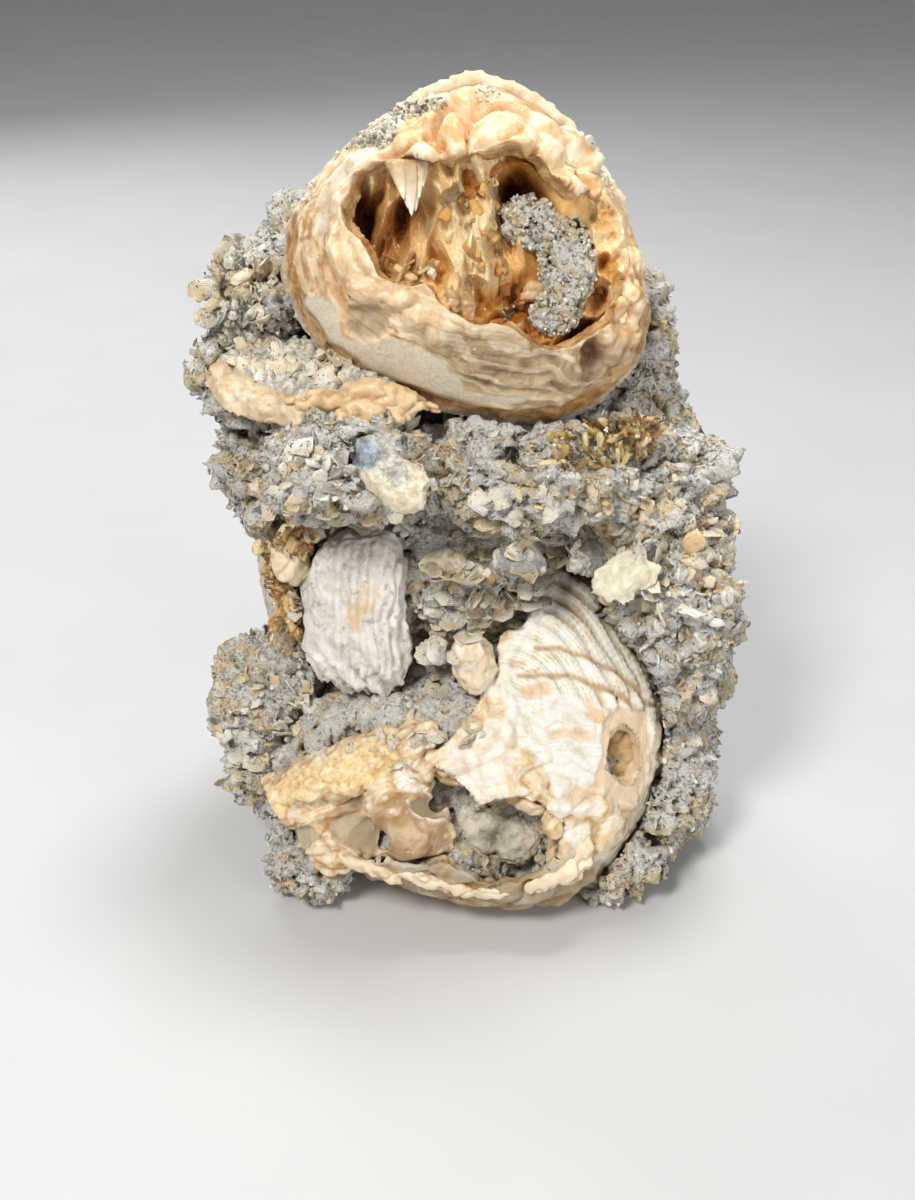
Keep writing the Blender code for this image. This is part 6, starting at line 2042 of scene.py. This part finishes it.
def clam_crust(front):
    """Grains of rock left on the upper clam: along its upper left, on the seam and on its right edge."""
    rng = np.random.default_rng(77)
    skin = tree_of(front)
    rows = []

    def add(place, size, tone, tree=skin):
        at = spot(*place, 0.1, tree)
        if at is not None:
            rows.append((at, rng.uniform(*size), rng.uniform(*tone)))

    for line, count, most in ((GREY_CRUST, 420, 0.85), (EDGE_CRUST, 120, 0.7)):
        for place in pixels_in(line, count, rng):
            add(place, (0.3, most), (0.0, 0.7))
    for centre in ((303, 190), (484, 91)):
        for place in rng.normal(centre, 6, (40, 2)):
            add(place, (0.25, 0.6), (0.2, 1.0))
    seam = np.array(VALVE_SEAM, float)
    for _ in range(160):
        share = rng.uniform(0, len(seam) - 1.001)
        k = int(share)
        place = seam[k] + (seam[k + 1] - seam[k]) * (share - k) + rng.normal(0, 1.6, 2)
        add(place, (0.3, 0.8), (0.0, 0.5), SOLIDS)
    places, sizes, tones = (np.array(part) for part in zip(*rows))
    obj = grains("clam_grit", places, sizes, rng, tones)
    dress(obj, "rock", grit_look("clam grit", GRIT_STOPS), smooth=False)


# The whole


# The lamps: place and diameter in metres, power in watts and colour
LAMPS = (
    ("key", (-0.35, -0.60, 0.85), 0.25, 8.3, (1.0, 0.98, 0.95)),
    ("fill", (0.68, -0.62, 0.38), 0.5, 2.9, (1.0, 0.99, 0.97)),
    ("top", (0.15, 0.2, 1.0), 0.3, 5.5, (1, 1, 1)), ("back", (-0.4, 0.7, 0.5), 0.4, 2.5, (1, 1, 1)),
)
LAMP_TARGET = (0, -0.01, 0.09)
FLOOR_HALF = 6.0


def light(name, place, size, power, colour):
    """A round lamp, turned to the object."""
    lamp = bpy.data.lights.new(name, "AREA")
    lamp.shape = "DISK"
    lamp.size = size
    lamp.energy = power
    lamp.color = colour
    obj = bpy.data.objects.new(name, lamp)
    bpy.context.scene.collection.objects.link(obj)
    obj.location = place
    obj.rotation_euler = (Vector(LAMP_TARGET) - Vector(place)).to_track_quat("-Z", "Y").to_euler()


def make_stage():
    """The floor, the world, the lamps and the camera."""
    scene = bpy.context.scene
    bm = bmesh.new()
    bmesh.ops.create_grid(bm, x_segments=1, y_segments=1, size=FLOOR_HALF)
    mesh = bpy.data.meshes.new("floor")
    bm.to_mesh(mesh)
    bm.free()
    floor = bpy.data.objects.new("floor", mesh)
    scene.collection.objects.link(floor)
    look = Look("pale floor", 0.6, Specular_IOR_Level=0.3)
    mesh.materials.append(look.done(look.ramp(look.noise(60, 2), (0.3, (0.56, 0.56, 0.56)), (0.7, (0.58, 0.58, 0.58)))))

    scene.view_settings.view_transform = "Standard"
    world = bpy.data.worlds.new("studio")
    scene.world = world
    world.use_nodes = True
    world.node_tree.nodes["Background"].inputs["Color"].default_value = (0.97, 0.98, 1.0, 1)
    world.node_tree.nodes["Background"].inputs["Strength"].default_value = 0.25

    for lamp in LAMPS:
        light(*lamp)

    camera = bpy.data.cameras.new("camera")
    camera.lens = LENS
    camera.sensor_width = SENSOR
    camera.sensor_fit = "AUTO"
    camera.clip_start = 0.01
    obj = bpy.data.objects.new("camera", camera)
    scene.collection.objects.link(obj)
    obj.location = VIEW_FROM * MM
    obj.rotation_euler = (math.radians(90 - VIEW_FALL), 0, 0)
    scene.camera = obj


def in_front(points, normals):
    """Whether points lie in the open front of the lower clam."""
    return (LOWER.local(points)[:, 2] > -8) & (normals @ LOWER.turn[:, 2] > 0)


make_stage()
rock = make_rock()
make_crust(rock)
clam_crust(upper_front())
upper_lining()
upper_crystals()
sandy("upper_clam_grit", "upper_clam_sand", "sediment", 0.42, 800, 0.42, 181)
lower_front()
lower_calcite()
sandy("lower_clam_silt", "lower_clam_sediment", "sediment", 1.0, 500, 0.35, 191, in_front, 3.6, 0.9, shelf)
back_look = shell_look("cream back shell")
pale_look = shell_look("pale back shell")
ridged("upper_clam_back", "upper_clam_back_valve", UPPER_BACK, "cream_shell", pale_look, 1.05, 12, 0.25, 62, 0.35, 0.6)
ridged(
    "lower_clam_back", "lower_clam_back_valve", LOWER_BACK, "cream_shell", back_look, 1.2, 14, 0.5, 65, 0.4, 0.6,
    buried
)
make_small_shells()
front_lumps()
crusts()
